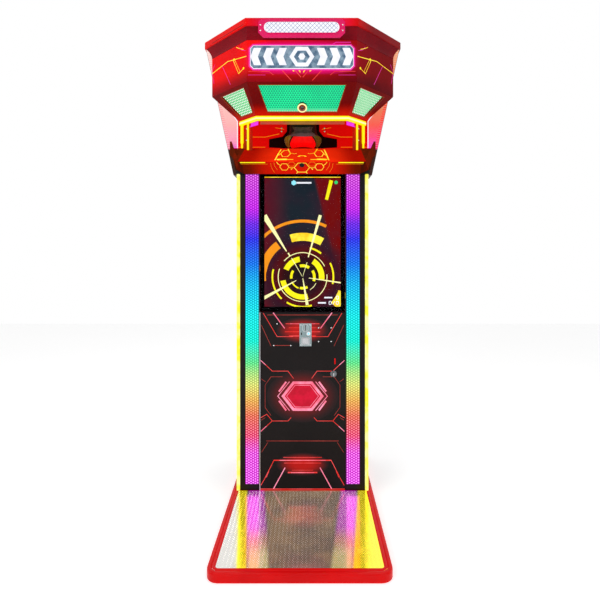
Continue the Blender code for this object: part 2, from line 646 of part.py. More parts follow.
def build_visor():
    visor = bent_board("visor", VISOR_PLAN, VISOR_BOTTOM + GAP, FASCIA_PLAN, FASCIA_BOTTOM, VISOR_WALL, RED)
    front_window = [(0.096, 0.09), (0.904, 0.09), (0.865, 0.89), (0.135, 0.89)]
    side_window = [(0.12, 0.12), (0.80, 0.12), (0.78, 0.88), (0.12, 0.88)]
    cut(visor, window_tool("window_front", "front", front_window))
    for side in ("left", "right"):
        cut(visor, window_tool(f"window_{side}", side, side_window))
    margin = 0.0025
    low, high = VISOR_BOTTOM + margin, FASCIA_BOTTOM - margin
    behind = VISOR_WALL + GAP
    mesh = bent_board("visor_mesh", inset_plan(visor_plan(low), behind), low,
                      inset_plan(visor_plan(high), behind), high, MESH_THICKNESS, GREEN)

    down = (FASCIA_BOTTOM - CAMERA_Z) / (FASCIA_BOTTOM - VISOR_BOTTOM)
    centre = facet_point("front", 0.5, down)
    slope = (facet_point("front", 0.5, 1) - facet_point("front", 0.5, 0)).normalized()
    outward = Vector((0, slope.z, -slope.y))
    hole = (centre - outward * 0.05, centre + outward * 0.05)
    cut(visor, rod("camera_hole_visor", *hole, CAMERA_RADIUS + GAP, RED, 28))
    cut(mesh, rod("camera_hole_mesh", *hole, CAMERA_RADIUS + GAP, RED, 28))
    rod("camera", centre - outward * 0.028, centre + outward * 0.004, CAMERA_RADIUS, PLASTIC, 28)

    neon_top = VISOR_BOTTOM
    neon_low = neon_top - NEON_HEIGHT
    neon = bent_board("neon_frame", VISOR_PLAN, neon_low, VISOR_PLAN, neon_top, NEON_DEPTH, YELLOW)
    leg_plan = inset_plan(VISOR_PLAN, NEON_DEPTH / 2)
    post_front = HEAD_SPLIT_Y - GAP - POST_WIDTH_Y
    legs = (("outer", HEAD_SPLIT_Y - GAP - NEON_LEG_RADIUS - 0.001), ("inner", post_front + NEON_LEG_RADIUS))
    for side, sign in (("left", -1), ("right", 1)):
        for label, y in legs:
            x = sign * plan_x_at(leg_plan, y)
            foot = tray_z(y + NEON_LEG_RADIUS) + 0.001
            weld(neon, rod(f"neon_leg_{label}_{side}", (x, y, foot), (x, y, neon_top - 0.006),
                           NEON_LEG_RADIUS, YELLOW, 12))
        build_post(side, sign, neon_low - GAP, post_front)


def build_post(side, sign, top, front_y):
    outer_plan = inset_plan(VISOR_PLAN, NEON_DEPTH + GAP)
    inner_plan = inset_plan(VISOR_PLAN, NEON_DEPTH + GAP + POST_THICKNESS)
    rear_y = HEAD_SPLIT_Y - GAP
    corners = [(plan_x_at(outer_plan, front_y), front_y), (plan_x_at(outer_plan, rear_y), rear_y),
               (plan_x_at(inner_plan, rear_y), rear_y),
               (plan_x_at(inner_plan, front_y + 0.008), front_y + 0.008)]
    points = []
    for x, y in corners:
        points += [(sign * x, y, tray_z(y) + GAP), (sign * x, y, top)]
    hull(f"post_{side}", points, RED)


# ---- tray ----

def build_tray():
    rear = HEAD_SPLIT_Y
    under = COLUMN_TOP + GAP + BOARD + GAP
    foot_half = side_inner(COLUMN_TOP) - 0.003
    top = [(TRAY_FRONT_HALF, TRAY_FRONT, CREASE_Z), (TRAY_FRONT_HALF, TRAY_FRONT, CREASE_Z - TRAY_LIP),
           (TRAY_REAR_HALF, rear, RIDGE_Z), (TRAY_REAR_HALF, rear, SHOULDER_Z), (foot_half, rear, under)]
    tray = hull("punch_tray", both_sides(top), RED)
    for side, sign in (("left", -1), ("right", 1)):
        points = []
        for y, low, high in ((TRAY_FRONT, CREASE_Z - 0.002, CREASE_Z + 0.001), (rear, SHOULDER_Z, EAR_Z)):
            for x in (tray_half(y) - 0.001, tray_half(y) + EAR_THICKNESS):
                points += [(sign * x, y, low), (sign * x, y, high)]
        weld(tray, hull(f"tray_ear_{side}", points, RED))

    chin_top = CREASE_Z - TRAY_LIP - GAP
    column_face = COLUMN_FRONT - GAP
    rear_top = under - GAP
    chin_rear_half = foot_half - 0.003
    chin = hull("tray_chin", both_sides([
        (TRAY_FRONT_HALF, TRAY_FRONT, chin_top), (CHIN_HALF, CHIN_Y, CHIN_Z),
        (CHIN_HALF, column_face, COLUMN_TOP), (chin_rear_half, column_face, rear_top)]), RED)
    top_edge = Vector((0, TRAY_FRONT, chin_top))
    down = (Vector((0, CHIN_Y, CHIN_Z)) - top_edge)
    outward = Vector((0, down.z, -down.y)).normalized()
    centre = top_edge + down * 0.28
    cut(chin, rod("button_well_chin", centre - outward * (BUTTON_DEPTH + BUTTON_TRAVEL + GAP),
                  centre + outward * 0.02, BUTTON_RADIUS + GAP, RED))
    button = rod("tray_button", centre - outward * BUTTON_DEPTH, centre + outward * BUTTON_DEPTH,
                 BUTTON_RADIUS, PLASTIC)
    hang_on(button, centre)

    well_low = WELL_Z - BOARD
    box("tray_well", (-side_inner(well_low) + GAP * 2, rear + GAP, well_low),
        (side_inner(well_low) - GAP * 2, WELL_REAR, WELL_Z), RED)


# ---- wall, ceiling and swinging bag ----

def build_wall():
    low = WELL_Z + GAP
    edge = 3 * GAP
    wide, neck = BAG_RADIUS + HOLE_PLAY, 0.79 * BAG_RADIUS + 0.009
    wing = wide + HOLE_WING
    hole = [(wide, low + 0.0197), (wide, low + 0.0617), (wing, low + 0.0657), (wing, low + 0.1107),
            (wide, low + 0.1233), (neck, low + 0.1497), (neck, WALL_TOP)]
    half = hole + [(side_inner(WALL_TOP) - edge, WALL_TOP), (side_inner(low) - edge, low)]
    outline = half + [(-x, z) for x, z in reversed(half)]
    prism("punch_wall", outline, 1, WALL_FRONT, WALL_FRONT + WALL_THICKNESS, RED)

    plan = inset_plan(visor_plan(CEILING_Z), VISOR_WALL + MESH_THICKNESS + 3 * GAP)
    wide = side_inner(CEILING_Z) - 2 * GAP
    beside_cheek = cheek_inner(CEILING_Z) - 0.006
    corners = ((plan[0], plan[1]), (beside_cheek, HEAD_SPLIT_Y), (wide, CEILING_REAR - 0.018),
               (wide, CEILING_REAR))
    points = [(x, y, z) for x, y in corners for z in (CEILING_Z, CEILING_Z + CEILING_THICKNESS)]
    hull("punch_ceiling", both_sides(points), BLACK)


def bag_profile():
    """(radius, z) from the top pole to the bottom pole: a shoulder, a waist and a round foot."""
    shares = ((0.0, 0.000), (0.37, 0.000), (0.56, 0.035), (0.71, 0.118), (0.78, 0.235), (0.79, 0.459),
              (0.855, 0.518), (0.95, 0.576), (1.0, 0.635), (0.99, 0.753), (0.90, 0.871), (0.71, 0.953),
              (0.43, 0.991), (0.0, 1.000))
    top = PIVOT_Z - BAG_TOP_DROP
    return [(BAG_RADIUS * across, top - BAG_LENGTH * down) for across, down in shares]


def build_bag():
    pivot = (0, PIVOT_Y, PIVOT_Z)
    reach = PLATE_HALF + PLATE_THICKNESS + BEARING_WIDTH
    shaft = rod("pivot_shaft", (-reach - 0.012, PIVOT_Y, PIVOT_Z), (reach + 0.004, PIVOT_Y, PIVOT_Z),
                SHAFT_RADIUS, STEEL, 24)
    hang_on(shaft, pivot)
    bag_top = PIVOT_Z - BAG_TOP_DROP
    arm = rod("swing_arm", (-HUB_HALF, PIVOT_Y, PIVOT_Z), (HUB_HALF, PIVOT_Y, PIVOT_Z), HUB_RADIUS, STEEL, 24)
    weld(arm, rod("arm_tube", (0, PIVOT_Y, PIVOT_Z - 0.012), (0, PIVOT_Y, bag_top + 0.004), ARM_RADIUS,
                  STEEL))
    weld(arm, rod("arm_flange", (0, PIVOT_Y, bag_top + 0.007), (0, PIVOT_Y, bag_top + GAP),
                  FLANGE_RADIUS, STEEL, 24))
    weld(arm, rod("latch_disc", (HUB_HALF - 0.002, PIVOT_Y, PIVOT_Z),
                  (HUB_HALF + DISC_REACH, PIVOT_Y, PIVOT_Z), DISC_RADIUS, STEEL, 24))
    notch = Vector((0, sin(radians(85)), -cos(radians(85)))) * DISC_RADIUS
    cut(arm, rod("latch_notch", (HUB_HALF + 0.004, PIVOT_Y + notch.y, PIVOT_Z + notch.z),
                 (HUB_HALF + 0.030, PIVOT_Y + notch.y, PIVOT_Z + notch.z), 0.007, STEEL, 12))
    cut(arm, rod("hub_bore", (-0.06, PIVOT_Y, PIVOT_Z), (0.06, PIVOT_Y, PIVOT_Z),
                 SHAFT_RADIUS + SHAFT_CLEARANCE, STEEL, 24))
    hang_on(arm, pivot)
    bag = turned("punch_bag", bag_profile(), (0, PIVOT_Y), LEATHER)
    hang_on(bag, pivot)
    disc_x = -reach - 0.002
    disc = rod("encoder_disc", (disc_x - 0.003, PIVOT_Y, PIVOT_Z), (disc_x, PIVOT_Y, PIVOT_Z), ENCODER_RADIUS,
               ZINC, 28)
    cut(disc, rod("disc_bore", (disc_x - 0.02, PIVOT_Y, PIVOT_Z), (disc_x + 0.02, PIVOT_Y, PIVOT_Z),
                  SHAFT_RADIUS + SHAFT_CLEARANCE, ZINC, 24))
    hang_on(disc, pivot)
    build_pivot_frame()


def build_pivot_frame():
    top = ROOF_PANEL_Z - GAP
    sheet = PLATE_THICKNESS
    frame = box("pivot_frame", (-0.120, PIVOT_Y - 0.135, top - sheet), (0.120, PIVOT_Y + 0.175, top), ZINC)
    for side, sign in (("left", -1), ("right", 1)):
        inner, outer = sign * PLATE_HALF, sign * (PLATE_HALF + PLATE_THICKNESS)
        xs = sorted((inner, outer))
        plate = box(f"frame_cheek_{side}", (xs[0], PIVOT_Y - 0.037, PIVOT_Z - 0.028),
                    (xs[1], PIVOT_Y + 0.050, top - sheet / 2), ZINC)
        weld(frame, plate)
        cut(frame, rod(f"cheek_hole_{side}", (inner - sign * 0.01, PIVOT_Y, PIVOT_Z),
                       (outer + sign * 0.01, PIVOT_Y, PIVOT_Z), SHAFT_RADIUS + 0.003, ZINC))
        start = outer + sign * GAP
        bearing = rod(f"shaft_bearing_{side}", (start, PIVOT_Y, PIVOT_Z),
                      (outer + sign * BEARING_WIDTH, PIVOT_Y, PIVOT_Z), BEARING_RADIUS, STEEL, 24)
        cut(bearing, rod(f"bearing_bore_{side}", (start - sign * 0.01, PIVOT_Y, PIVOT_Z),
                         (outer + sign * 0.03, PIVOT_Y, PIVOT_Z), SHAFT_RADIUS + SHAFT_CLEARANCE, STEEL, 24))

    build_latch(frame, top - sheet)
    stop_y = PIVOT_Y + 0.052
    box("bag_stop", (-0.018, stop_y, PIVOT_Z + 0.0155), (0.018, stop_y + 0.026, top - sheet - GAP), RUBBER)


def build_latch(frame, under_plate):
    """The pawl on its pin over the latch disc, and the solenoid whose plunger pushes the pawl's top."""
    pawl_y = PIVOT_Y + PAWL_OFFSET
    pawl_low, pawl_high = PIVOT_Z + DISC_RADIUS + 0.0015, PIVOT_Z + PLUNGER_RISE + 0.008
    pawl_x = (0.030, 0.038)
    pawl = box("latch_pawl", (pawl_x[0], pawl_y - PAWL_HALF, pawl_low),
               (pawl_x[1], pawl_y + PAWL_HALF, pawl_high), STEEL)
    pin_radius, pin_z = 0.0035, PIVOT_Z + PAWL_PIVOT_RISE
    weld(frame, rod("pawl_pin", (pawl_x[0] - 0.002, pawl_y, pin_z), (PLATE_HALF + 0.003, pawl_y, pin_z),
                    pin_radius, ZINC, 16))
    cut(pawl, rod("pawl_bore", (0, pawl_y, pin_z), (0.06, pawl_y, pin_z), pin_radius + SHAFT_CLEARANCE,
                  STEEL, 16))
    centre_x = sum(pawl_x) / 2
    hang_on(pawl, (centre_x, pawl_y, pin_z))

    plunger_z = PIVOT_Z + PLUNGER_RISE
    tip = pawl_y - PAWL_HALF - 0.0008
    body_front, body_rear = tip - 0.075, tip - 0.022
    solenoid = box("latch_solenoid", (centre_x - 0.012, body_front, plunger_z - 0.012),
                   (centre_x + 0.012, body_rear, under_plate - GAP), PLASTIC)
    cut(solenoid, rod("plunger_bore", (centre_x, body_front - 0.01, plunger_z),
                      (centre_x, body_rear + 0.01, plunger_z), PLUNGER_RADIUS + SHAFT_CLEARANCE, PLASTIC))
    plunger = rod("latch_plunger", (centre_x, body_front - 0.004, plunger_z), (centre_x, tip, plunger_z),
                  PLUNGER_RADIUS, STEEL)
    hang_on(plunger, (centre_x, tip, plunger_z))


# ---- assembly ----

for old in list(bpy.data.objects):
    bpy.data.objects.remove(old, do_unlink=True)

build_base()
build_column()
build_door()
build_rear()
build_head()
build_visor()
build_tray()
build_wall()
build_bag()
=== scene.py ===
import json
import math

import bmesh
import bpy
import numpy as np
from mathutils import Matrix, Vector

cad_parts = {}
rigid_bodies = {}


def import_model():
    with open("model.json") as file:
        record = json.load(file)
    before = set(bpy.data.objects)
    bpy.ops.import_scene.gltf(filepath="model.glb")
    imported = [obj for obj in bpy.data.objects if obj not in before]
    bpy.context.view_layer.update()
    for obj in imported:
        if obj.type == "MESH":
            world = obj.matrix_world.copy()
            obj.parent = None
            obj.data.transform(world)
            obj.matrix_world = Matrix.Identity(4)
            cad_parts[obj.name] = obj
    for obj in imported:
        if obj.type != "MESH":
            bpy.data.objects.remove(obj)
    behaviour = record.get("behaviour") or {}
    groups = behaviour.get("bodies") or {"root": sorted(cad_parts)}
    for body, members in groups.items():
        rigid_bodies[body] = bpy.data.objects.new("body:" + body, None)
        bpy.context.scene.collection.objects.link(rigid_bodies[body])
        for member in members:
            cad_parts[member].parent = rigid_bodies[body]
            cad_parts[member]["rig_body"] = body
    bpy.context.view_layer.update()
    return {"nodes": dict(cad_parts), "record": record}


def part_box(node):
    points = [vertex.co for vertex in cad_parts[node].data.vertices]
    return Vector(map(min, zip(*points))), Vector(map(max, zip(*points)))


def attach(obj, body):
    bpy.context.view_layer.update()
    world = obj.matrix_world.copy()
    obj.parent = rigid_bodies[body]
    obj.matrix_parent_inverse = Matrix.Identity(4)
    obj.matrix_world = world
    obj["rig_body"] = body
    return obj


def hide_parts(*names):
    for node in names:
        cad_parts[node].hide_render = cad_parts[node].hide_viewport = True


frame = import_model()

record = frame["record"]
slotOf = {part["node"]: part["material_slot"] for part in record["subparts"]}
print("frame loaded:", len(frame["nodes"]), "parts")


# meshes from arrays

def gridFaces(rows, columns, closeRows=False, closeColumns=False):
    # each cell of a rows by columns grid becomes one four-sided face
    i, j = np.meshgrid(np.arange(rows - (not closeRows)), np.arange(columns - (not closeColumns)), indexing="ij")
    nextRow, nextColumn = (i + 1) % rows, (j + 1) % columns
    cells = [i * columns + j, i * columns + nextColumn, nextRow * columns + nextColumn, nextRow * columns + j]
    return np.stack(cells, -1).reshape(-1, 4).tolist()


def joined(shapes):
    # several (points, faces) shapes as one
    points, faces, start = [], [], 0
    for shape in shapes:
        points.append(shape[0])
        faces += [[start + k for k in face] for face in shape[1]]
        start += len(shape[0])
    return np.concatenate(points), faces


def addPiece(name, shape, material, body="machine", slot=None, replaced=(), smooth=None, solid=True):
    mesh = bpy.data.meshes.new(name)
    mesh.from_pydata(shape[0].tolist(), [], shape[1])
    if solid:
        work = bmesh.new()
        work.from_mesh(mesh)
        bmesh.ops.recalc_face_normals(work, faces=work.faces)
        work.to_mesh(mesh)
        work.free()
    if smooth is not None:
        mesh.shade_smooth()
        mesh.set_sharp_from_angle(angle=math.radians(smooth))
    piece = bpy.data.objects.new(name, mesh)
    bpy.context.scene.collection.objects.link(piece)
    mesh.materials.append(material)
    finishPiece(piece, body, slot, replaced)
    return piece


def finishPiece(piece, body, slot, replaced):
    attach(piece, body)
    if replaced:
        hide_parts(*replaced)


def spoken(node):
    # base_platform becomes basePlatform
    words = node.split("_")
    return words[0] + "".join(word.title() for word in words[1:])


def softened(node, material, width=0.0012, segments=2, smooth=35, angle=30):
    # a CAD part's own shape with its edges rounded over
    work = bmesh.new()
    work.from_mesh(frame["nodes"][node].data)
    bmesh.ops.remove_doubles(work, verts=work.verts, dist=0.00001)
    bmesh.ops.dissolve_limit(work, angle_limit=math.radians(0.4), verts=work.verts, edges=work.edges)
    mesh = bpy.data.meshes.new(spoken(node))
    work.to_mesh(mesh)
    work.free()
    mesh.materials.append(material)
    piece = bpy.data.objects.new(spoken(node), mesh)
    bpy.context.scene.collection.objects.link(piece)
    mesh.shade_smooth()
    mesh.set_sharp_from_angle(angle=math.radians(smooth))
    bevel = piece.modifiers.new("roundedEdges", "BEVEL")
    bevel.width, bevel.segments = width, segments
    bevel.limit_method, bevel.angle_limit = "ANGLE", math.radians(angle)
    finishPiece(piece, frame["nodes"][node]["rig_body"], slotOf[node], [node])
    return piece


def onPlane(origin, right, up):
    # returns a function that sets flat points (across, up) and a height on a plane in space
    origin, right, up = (np.array(v, float) for v in (origin, right, up))
    right, up = right / np.linalg.norm(right), up / np.linalg.norm(up)
    out = np.cross(right, up)

    def place(flat, height):
        flat = np.asarray(flat, float)
        return origin + flat[..., :1] * right + flat[..., 1:2] * up + np.asarray(height, float)[..., None] * out
    return place


def frontPlane(origin):
    return onPlane(origin, (1, 0, 0), (0, 0, 1))


def cornersOf(node):
    return np.array([v.co for v in frame["nodes"][node].data.vertices])


def insetRing(ring, depth):
    # every corner of an anticlockwise ring moves inwards along its mitre
    before = ring - np.roll(ring, 1, 0)
    after = np.roll(ring, -1, 0) - ring
    before = before / np.linalg.norm(before, axis=1, keepdims=True)
    after = after / np.linalg.norm(after, axis=1, keepdims=True)
    first, second = (np.stack([-d[:, 1], d[:, 0]], 1) for d in (before, after))
    mitre = (first + second) / (1 + (first * second).sum(1, keepdims=True))
    return ring + depth * mitre


def plate(ring, rows, place):
    # an outline carried up through rows of (inset, height), closed at both ends
    ring = np.asarray(ring, float)
    x, y = ring.T
    if (x * np.roll(y, -1) - y * np.roll(x, -1)).sum() < 0:
        ring = ring[::-1]
    levels = [place(insetRing(ring, inset), np.full(len(ring), height)) for inset, height in rows]
    faces = gridFaces(len(rows), len(ring), closeColumns=True)
    last = (len(rows) - 1) * len(ring)
    faces += [list(range(len(ring)))[::-1], [last + k for k in range(len(ring))]]
    return np.concatenate(levels), faces


def strip(line, width, height, place, closed=False, round=True):
    # a low bead: its cross section is carried along a flat line with mitred corners
    line = np.asarray(line, float)
    step = np.roll(line, -1, 0) - line
    if not closed:
        step[-1] = step[-2]
    step = step / np.linalg.norm(step, axis=1, keepdims=True)
    back = np.roll(step, 1, 0)
    if not closed:
        back[0] = step[0]
    first, second = (np.stack([-d[:, 1], d[:, 0]], 1) for d in (back, step))
    mitre = (first + second) / np.maximum(1 + (first * second).sum(1, keepdims=True), 0.35)
    section = np.array([(-0.5, 0), (-0.5, 0.5), (-0.26, 1), (0.26, 1), (0.5, 0.5), (0.5, 0)])
    if not round:
        section = np.array([(-0.5, 0), (-0.5, 1), (0.5, 1), (0.5, 0)])
    across = section[:, 0][None, :, None] * mitre[:, None, :] * width
    points = place(line[:, None, :] + across, np.broadcast_to(section[:, 1] * height, (len(line), len(section))))
    faces = gridFaces(len(line), len(section), closeRows=closed, closeColumns=True)
    if not closed:
        last = (len(line) - 1) * len(section)
        faces += [list(range(len(section))), [last + k for k in range(len(section))][::-1]]
    return points.reshape(-1, 3), faces


def mirroredBeads(rows, place, foot=0.0, rise=1.0):
    # beads on both sides of the middle: each row is (width, height, line)
    return [strip([(s * x, foot + rise * y) for x, y in line], width, height, place)
            for s in (-1, 1) for width, height, line in rows]


def lathe(profile, place, sides=32, closed=False):
    # rows of (radius, height) turned about the plane's own upright
    angles = np.linspace(0, 2 * np.pi, sides, endpoint=False)
    circle = np.stack([np.cos(angles), np.sin(angles)], 1)
    profile = np.asarray(profile, float)
    points = np.concatenate([place(circle * radius, np.full(sides, height)) for radius, height in profile])
    faces = gridFaces(len(profile), sides, closeRows=closed, closeColumns=True)
    if not closed:
        last = (len(profile) - 1) * sides
        faces += [list(range(sides))[::-1], [last + k for k in range(sides)]]
    return points, faces


def tube(line, radius, sides=10, squash=1.0):
    # a circle carried along a line in space, turned with it by parallel transport
    line = np.asarray(line, float)
    radii = np.broadcast_to(np.asarray(radius, float), (len(line),))
    along = np.gradient(line, axis=0)
    along /= np.linalg.norm(along, axis=1, keepdims=True)
    side = np.cross(along[0], [0.0, 0.0, 1.0])
    if np.linalg.norm(side) < 0.1:
        side = np.cross(along[0], [1.0, 0.0, 0.0])
    sideways = []
    for direction in along:
        side = side - direction * side.dot(direction)
        side = side / np.linalg.norm(side)
        sideways.append(side)
    sideways = np.array(sideways)
    upwards = np.cross(along, sideways)
    angles = np.linspace(0, 2 * np.pi, sides, endpoint=False)
    ring = (np.cos(angles)[None, :, None] * sideways[:, None] + squash * np.sin(angles)[None, :, None] * upwards[:,
                                                                                                                 None])
    points = (line[:, None] + ring * radii[:, None, None]).reshape(-1, 3)
    faces = gridFaces(len(line), sides, closeColumns=True)
    last = (len(line) - 1) * sides
    faces += [list(range(sides)), [last + k for k in range(sides)][::-1]]
    return points, faces


def boxShape(low, high, bevel=0.0):
    # a block whose upright corners and rims are cut back by the bevel
    low, high = np.array(low, float), np.array(high, float)
    ring = [(low[0], low[1]), (high[0], low[1]), (high[0], high[1]), (low[0], high[1])]
    rows = [(0, low[2]), (0, high[2])]
    if bevel:
        b = bevel
        ring = [(low[0] + b, low[1]), (high[0] - b, low[1]), (high[0], low[1] + b), (high[0], high[1] - b),
                (high[0] - b, high[1]), (low[0] + b, high[1]), (low[0], high[1] - b), (low[0], low[1] + b)]
        rows = [(b, low[2]), (0, low[2] + b), (0, high[2] - b), (b, high[2])]
    return plate(ring, rows, lambda flat, height: np.column_stack([flat, height]))


def circleRing(centre, radius, sides=24, start=0.0):
    angles = start + np.linspace(0, 2 * np.pi, sides, endpoint=False)
    return np.stack([centre[0] + radius * np.cos(angles), centre[1] + radius * np.sin(angles)], 1)


def roundedRing(low, high, radius, steps=5):
    # a rectangle with rounded corners, anticlockwise
    turn = np.linspace(0, np.pi / 2, steps)
    arcs = []
    for quarter, (x, y) in enumerate([(high[0] - radius, low[1] + radius), (high[0] - radius, high[1] - radius),
                                      (low[0] + radius, high[1] - radius), (low[0] + radius, low[1] + radius)]):
        angle = turn + (quarter - 1) * np.pi / 2
        arcs.append(np.stack([x + radius * np.cos(angle), y + radius * np.sin(angle)], 1))
    return np.concatenate(arcs)


def boltHead(centre, radius, height, place):
    # a domed head with a six-sided drive sunk in it
    lift = lambda flat, level: place(flat + np.array(centre), level)
    dome = [(radius, 0), (radius, height * 0.35), (radius * 0.86, height * 0.8), (radius * 0.55, height)]
    shape = lathe(dome, lift, sides=16)
    drive = plate(circleRing((0, 0), radius * 0.42, 6), [(0, height), (0, height * 1.02)], lift)
    return joined([shape, drive])


# shared shader effects

def newGroup(name, inputs, outputs):
    tree = bpy.data.node_groups.new(name, "ShaderNodeTree")
    for label, kind, value in inputs:
        socket = tree.interface.new_socket(label, in_out="INPUT", socket_type=kind)
        if value is not None:
            socket.default_value = value
    for label, kind in outputs:
        tree.interface.new_socket(label, in_out="OUTPUT", socket_type=kind)
    return tree, tree.nodes.new("NodeGroupInput"), tree.nodes.new("NodeGroupOutput")


def mathNode(tree, operation, *values, clamp=False):
    node = tree.nodes.new("ShaderNodeMath")
    node.operation, node.use_clamp = operation, clamp
    for place, value in enumerate(values):
        if isinstance(value, (int, float)):
            node.inputs[place].default_value = value
        else:
            tree.links.new(value, node.inputs[place])
    return node.outputs[0]


def objectPlace(tree):
    return tree.nodes.new("ShaderNodeTexCoord").outputs["Object"]


def splitAxes(tree, vector):
    split = tree.nodes.new("ShaderNodeSeparateXYZ")
    tree.links.new(vector, split.inputs[0])
    return split.outputs


def reachNode(tree, x, y):
    return mathNode(tree, "SQRT", mathNode(tree, "ADD", mathNode(tree, "MULTIPLY", x, x),
                                           mathNode(tree, "MULTIPLY", y, y)))


def seenNode(tree):
    # 1 for the rays that show a surface as it is, 0 for those that only carry its light
    path = tree.nodes.new("ShaderNodeLightPath")
    direct = mathNode(tree, "MAXIMUM", path.outputs["Is Camera Ray"], path.outputs["Is Glossy Ray"])
    return mathNode(tree, "MAXIMUM", direct, path.outputs["Is Transmission Ray"])


def paintBoth(tree, shader, color):
    # one picture serves as the surface colour and as its own light
    tree.links.new(color, shader.inputs["Base Color"])
    tree.links.new(color, shader.inputs["Emission Color"])


def mixNode(tree, share, first, second, mode="MIX"):
    node = tree.nodes.new("ShaderNodeMix")
    node.data_type, node.blend_type = "RGBA", mode
    for socket, value in ((node.inputs[0], share), (node.inputs[6], first), (node.inputs[7], second)):
        if isinstance(value, bpy.types.NodeSocket):
            tree.links.new(value, socket)
        elif isinstance(value, (int, float)):
            socket.default_value = value
        else:
            socket.default_value = (*value, 1.0)
    return node.outputs[2]


def noiseNode(tree, vector, scale, detail=3.0, roughness=0.55):
    node = tree.nodes.new("ShaderNodeTexNoise")
    tree.links.new(vector, node.inputs["Vector"])
    node.inputs["Scale"].default_value = scale
    node.inputs["Detail"].default_value = detail
    node.inputs["Roughness"].default_value = roughness
    return node.outputs["Fac"]


def rangeNode(tree, value, low, high, toLow=0.0, toHigh=1.0):
    node = tree.nodes.new("ShaderNodeMapRange")
    node.interpolation_type = "SMOOTHSTEP"
    tree.links.new(value, node.inputs["Value"])
    for label, number in (("From Min", low), ("From Max", high), ("To Min", toLow), ("To Max", toHigh)):
        if isinstance(number, bpy.types.NodeSocket):
            tree.links.new(number, node.inputs[label])
        else:
            node.inputs[label].default_value = number
    return node.outputs["Result"]


def rampNode(tree, value, stops):
    node = tree.nodes.new("ShaderNodeValToRGB")
    ramp = node.color_ramp
    while len(ramp.elements) < len(stops):
        ramp.elements.new(0.5)
    for element, (place, color) in zip(ramp.elements, stops):
        element.position, element.color = place, (*color, 1.0)
    tree.links.new(value, node.inputs[0])
    return node.outputs[0]


def makeSurfaceGroup():
    # slow colour drift, fine specks and smears: the colour, a roughness and a height come out
    tree, source, sink = newGroup("panelSurface", [
        ("Color", "NodeSocketColor", (0.5, 0.5, 0.5, 1)), ("Shade", "NodeSocketColor", (0.2, 0.2, 0.2, 1)),
        ("Drift", "NodeSocketFloat", 0.3), ("Grain Scale", "NodeSocketFloat", 400.0),
        ("Grain", "NodeSocketFloat", 0.1), ("Roughness", "NodeSocketFloat", 0.3),
        ("Smear", "NodeSocketFloat", 0.1)],
        [("Color", "NodeSocketColor"), ("Roughness", "NodeSocketFloat"), ("Height", "NodeSocketFloat")])
    place = objectPlace(tree)
    slow = noiseNode(tree, place, 6.0, 4.0)
    smear = noiseNode(tree, place, 17.0, 6.0, 0.7)
    grain = tree.nodes.new("ShaderNodeTexNoise")
    tree.links.new(place, grain.inputs["Vector"])
    tree.links.new(source.outputs["Grain Scale"], grain.inputs["Scale"])
    grain.inputs["Detail"].default_value = 2.0
    drift = mathNode(tree, "MULTIPLY", rangeNode(tree, slow, 0.35, 0.68), source.outputs["Drift"])
    color = mixNode(tree, drift, source.outputs["Color"], source.outputs["Shade"])
    speck = mathNode(tree, "MULTIPLY", mathNode(tree, "SUBTRACT", grain.outputs["Fac"], 0.5),
                     source.outputs["Grain"])
    dark = mathNode(tree, "ADD", 1.0, speck)
    scaled = tree.nodes.new("ShaderNodeVectorMath")
    scaled.operation = "SCALE"
    tree.links.new(color, scaled.inputs[0])
    tree.links.new(dark, scaled.inputs["Scale"])
    rough = mathNode(tree, "ADD", source.outputs["Roughness"],
                     mathNode(tree, "MULTIPLY", rangeNode(tree, smear, 0.42, 0.75), source.outputs["Smear"]),
                     clamp=True)
    tree.links.new(scaled.outputs[0], sink.inputs["Color"])
    tree.links.new(rough, sink.inputs["Roughness"])
    tree.links.new(grain.outputs["Fac"], sink.inputs["Height"])
    return tree


def makeHolesGroup():
    # round holes in staggered rows over two flat measures: 1 inside a hole, 0 on the sheet
    tree, source, sink = newGroup("roundHoles", [
        ("Across", "NodeSocketFloat", 0.0), ("Up", "NodeSocketFloat", 0.0),
        ("Pitch", "NodeSocketFloat", 0.006), ("Radius", "NodeSocketFloat", 0.34)],
        [("Hole", "NodeSocketFloat")])
    across = mathNode(tree, "DIVIDE", source.outputs["Across"], source.outputs["Pitch"])
    up = mathNode(tree, "DIVIDE", source.outputs["Up"], mathNode(tree, "MULTIPLY", source.outputs["Pitch"], 0.866))
    row = mathNode(tree, "FLOOR", up)
    shifted = mathNode(tree, "ADD", across, mathNode(tree, "MULTIPLY", mathNode(tree, "PINGPONG", row, 1.0), 0.5))
    fromX = mathNode(tree, "SUBTRACT", mathNode(tree, "FRACT", shifted), 0.5)
    fromY = mathNode(tree, "MULTIPLY", mathNode(tree, "SUBTRACT", mathNode(tree, "FRACT", up), 0.5), 0.866)
    reach = reachNode(tree, fromX, fromY)
    edge = mathNode(tree, "ADD", source.outputs["Radius"], 0.07)
    tree.links.new(rangeNode(tree, reach, source.outputs["Radius"], edge, 1.0, 0.0), sink.inputs["Hole"])
    return tree


surfaceGroup = makeSurfaceGroup()
holesGroup = makeHolesGroup()


def newMaterial(name, color=(0.5, 0.5, 0.5), **sockets):
    made = bpy.data.materials.new(name)
    made.use_nodes = True
    tree = made.node_tree
    shader = tree.nodes["Principled BSDF"]
    shader.inputs["Base Color"].default_value = (*color, 1.0)
    for label, value in sockets.items():
        shader.inputs[label.replace("_", " ")].default_value = (*value, 1.0) if isinstance(value, tuple) else value
    return made, tree, shader


def addBump(tree, shader, height, distance, strength=1.0):
    bump = tree.nodes.new("ShaderNodeBump")
    bump.inputs["Distance"].default_value = distance
    bump.inputs["Strength"].default_value = strength
    tree.links.new(height, bump.inputs["Height"])
    tree.links.new(bump.outputs[0], shader.inputs["Normal"])


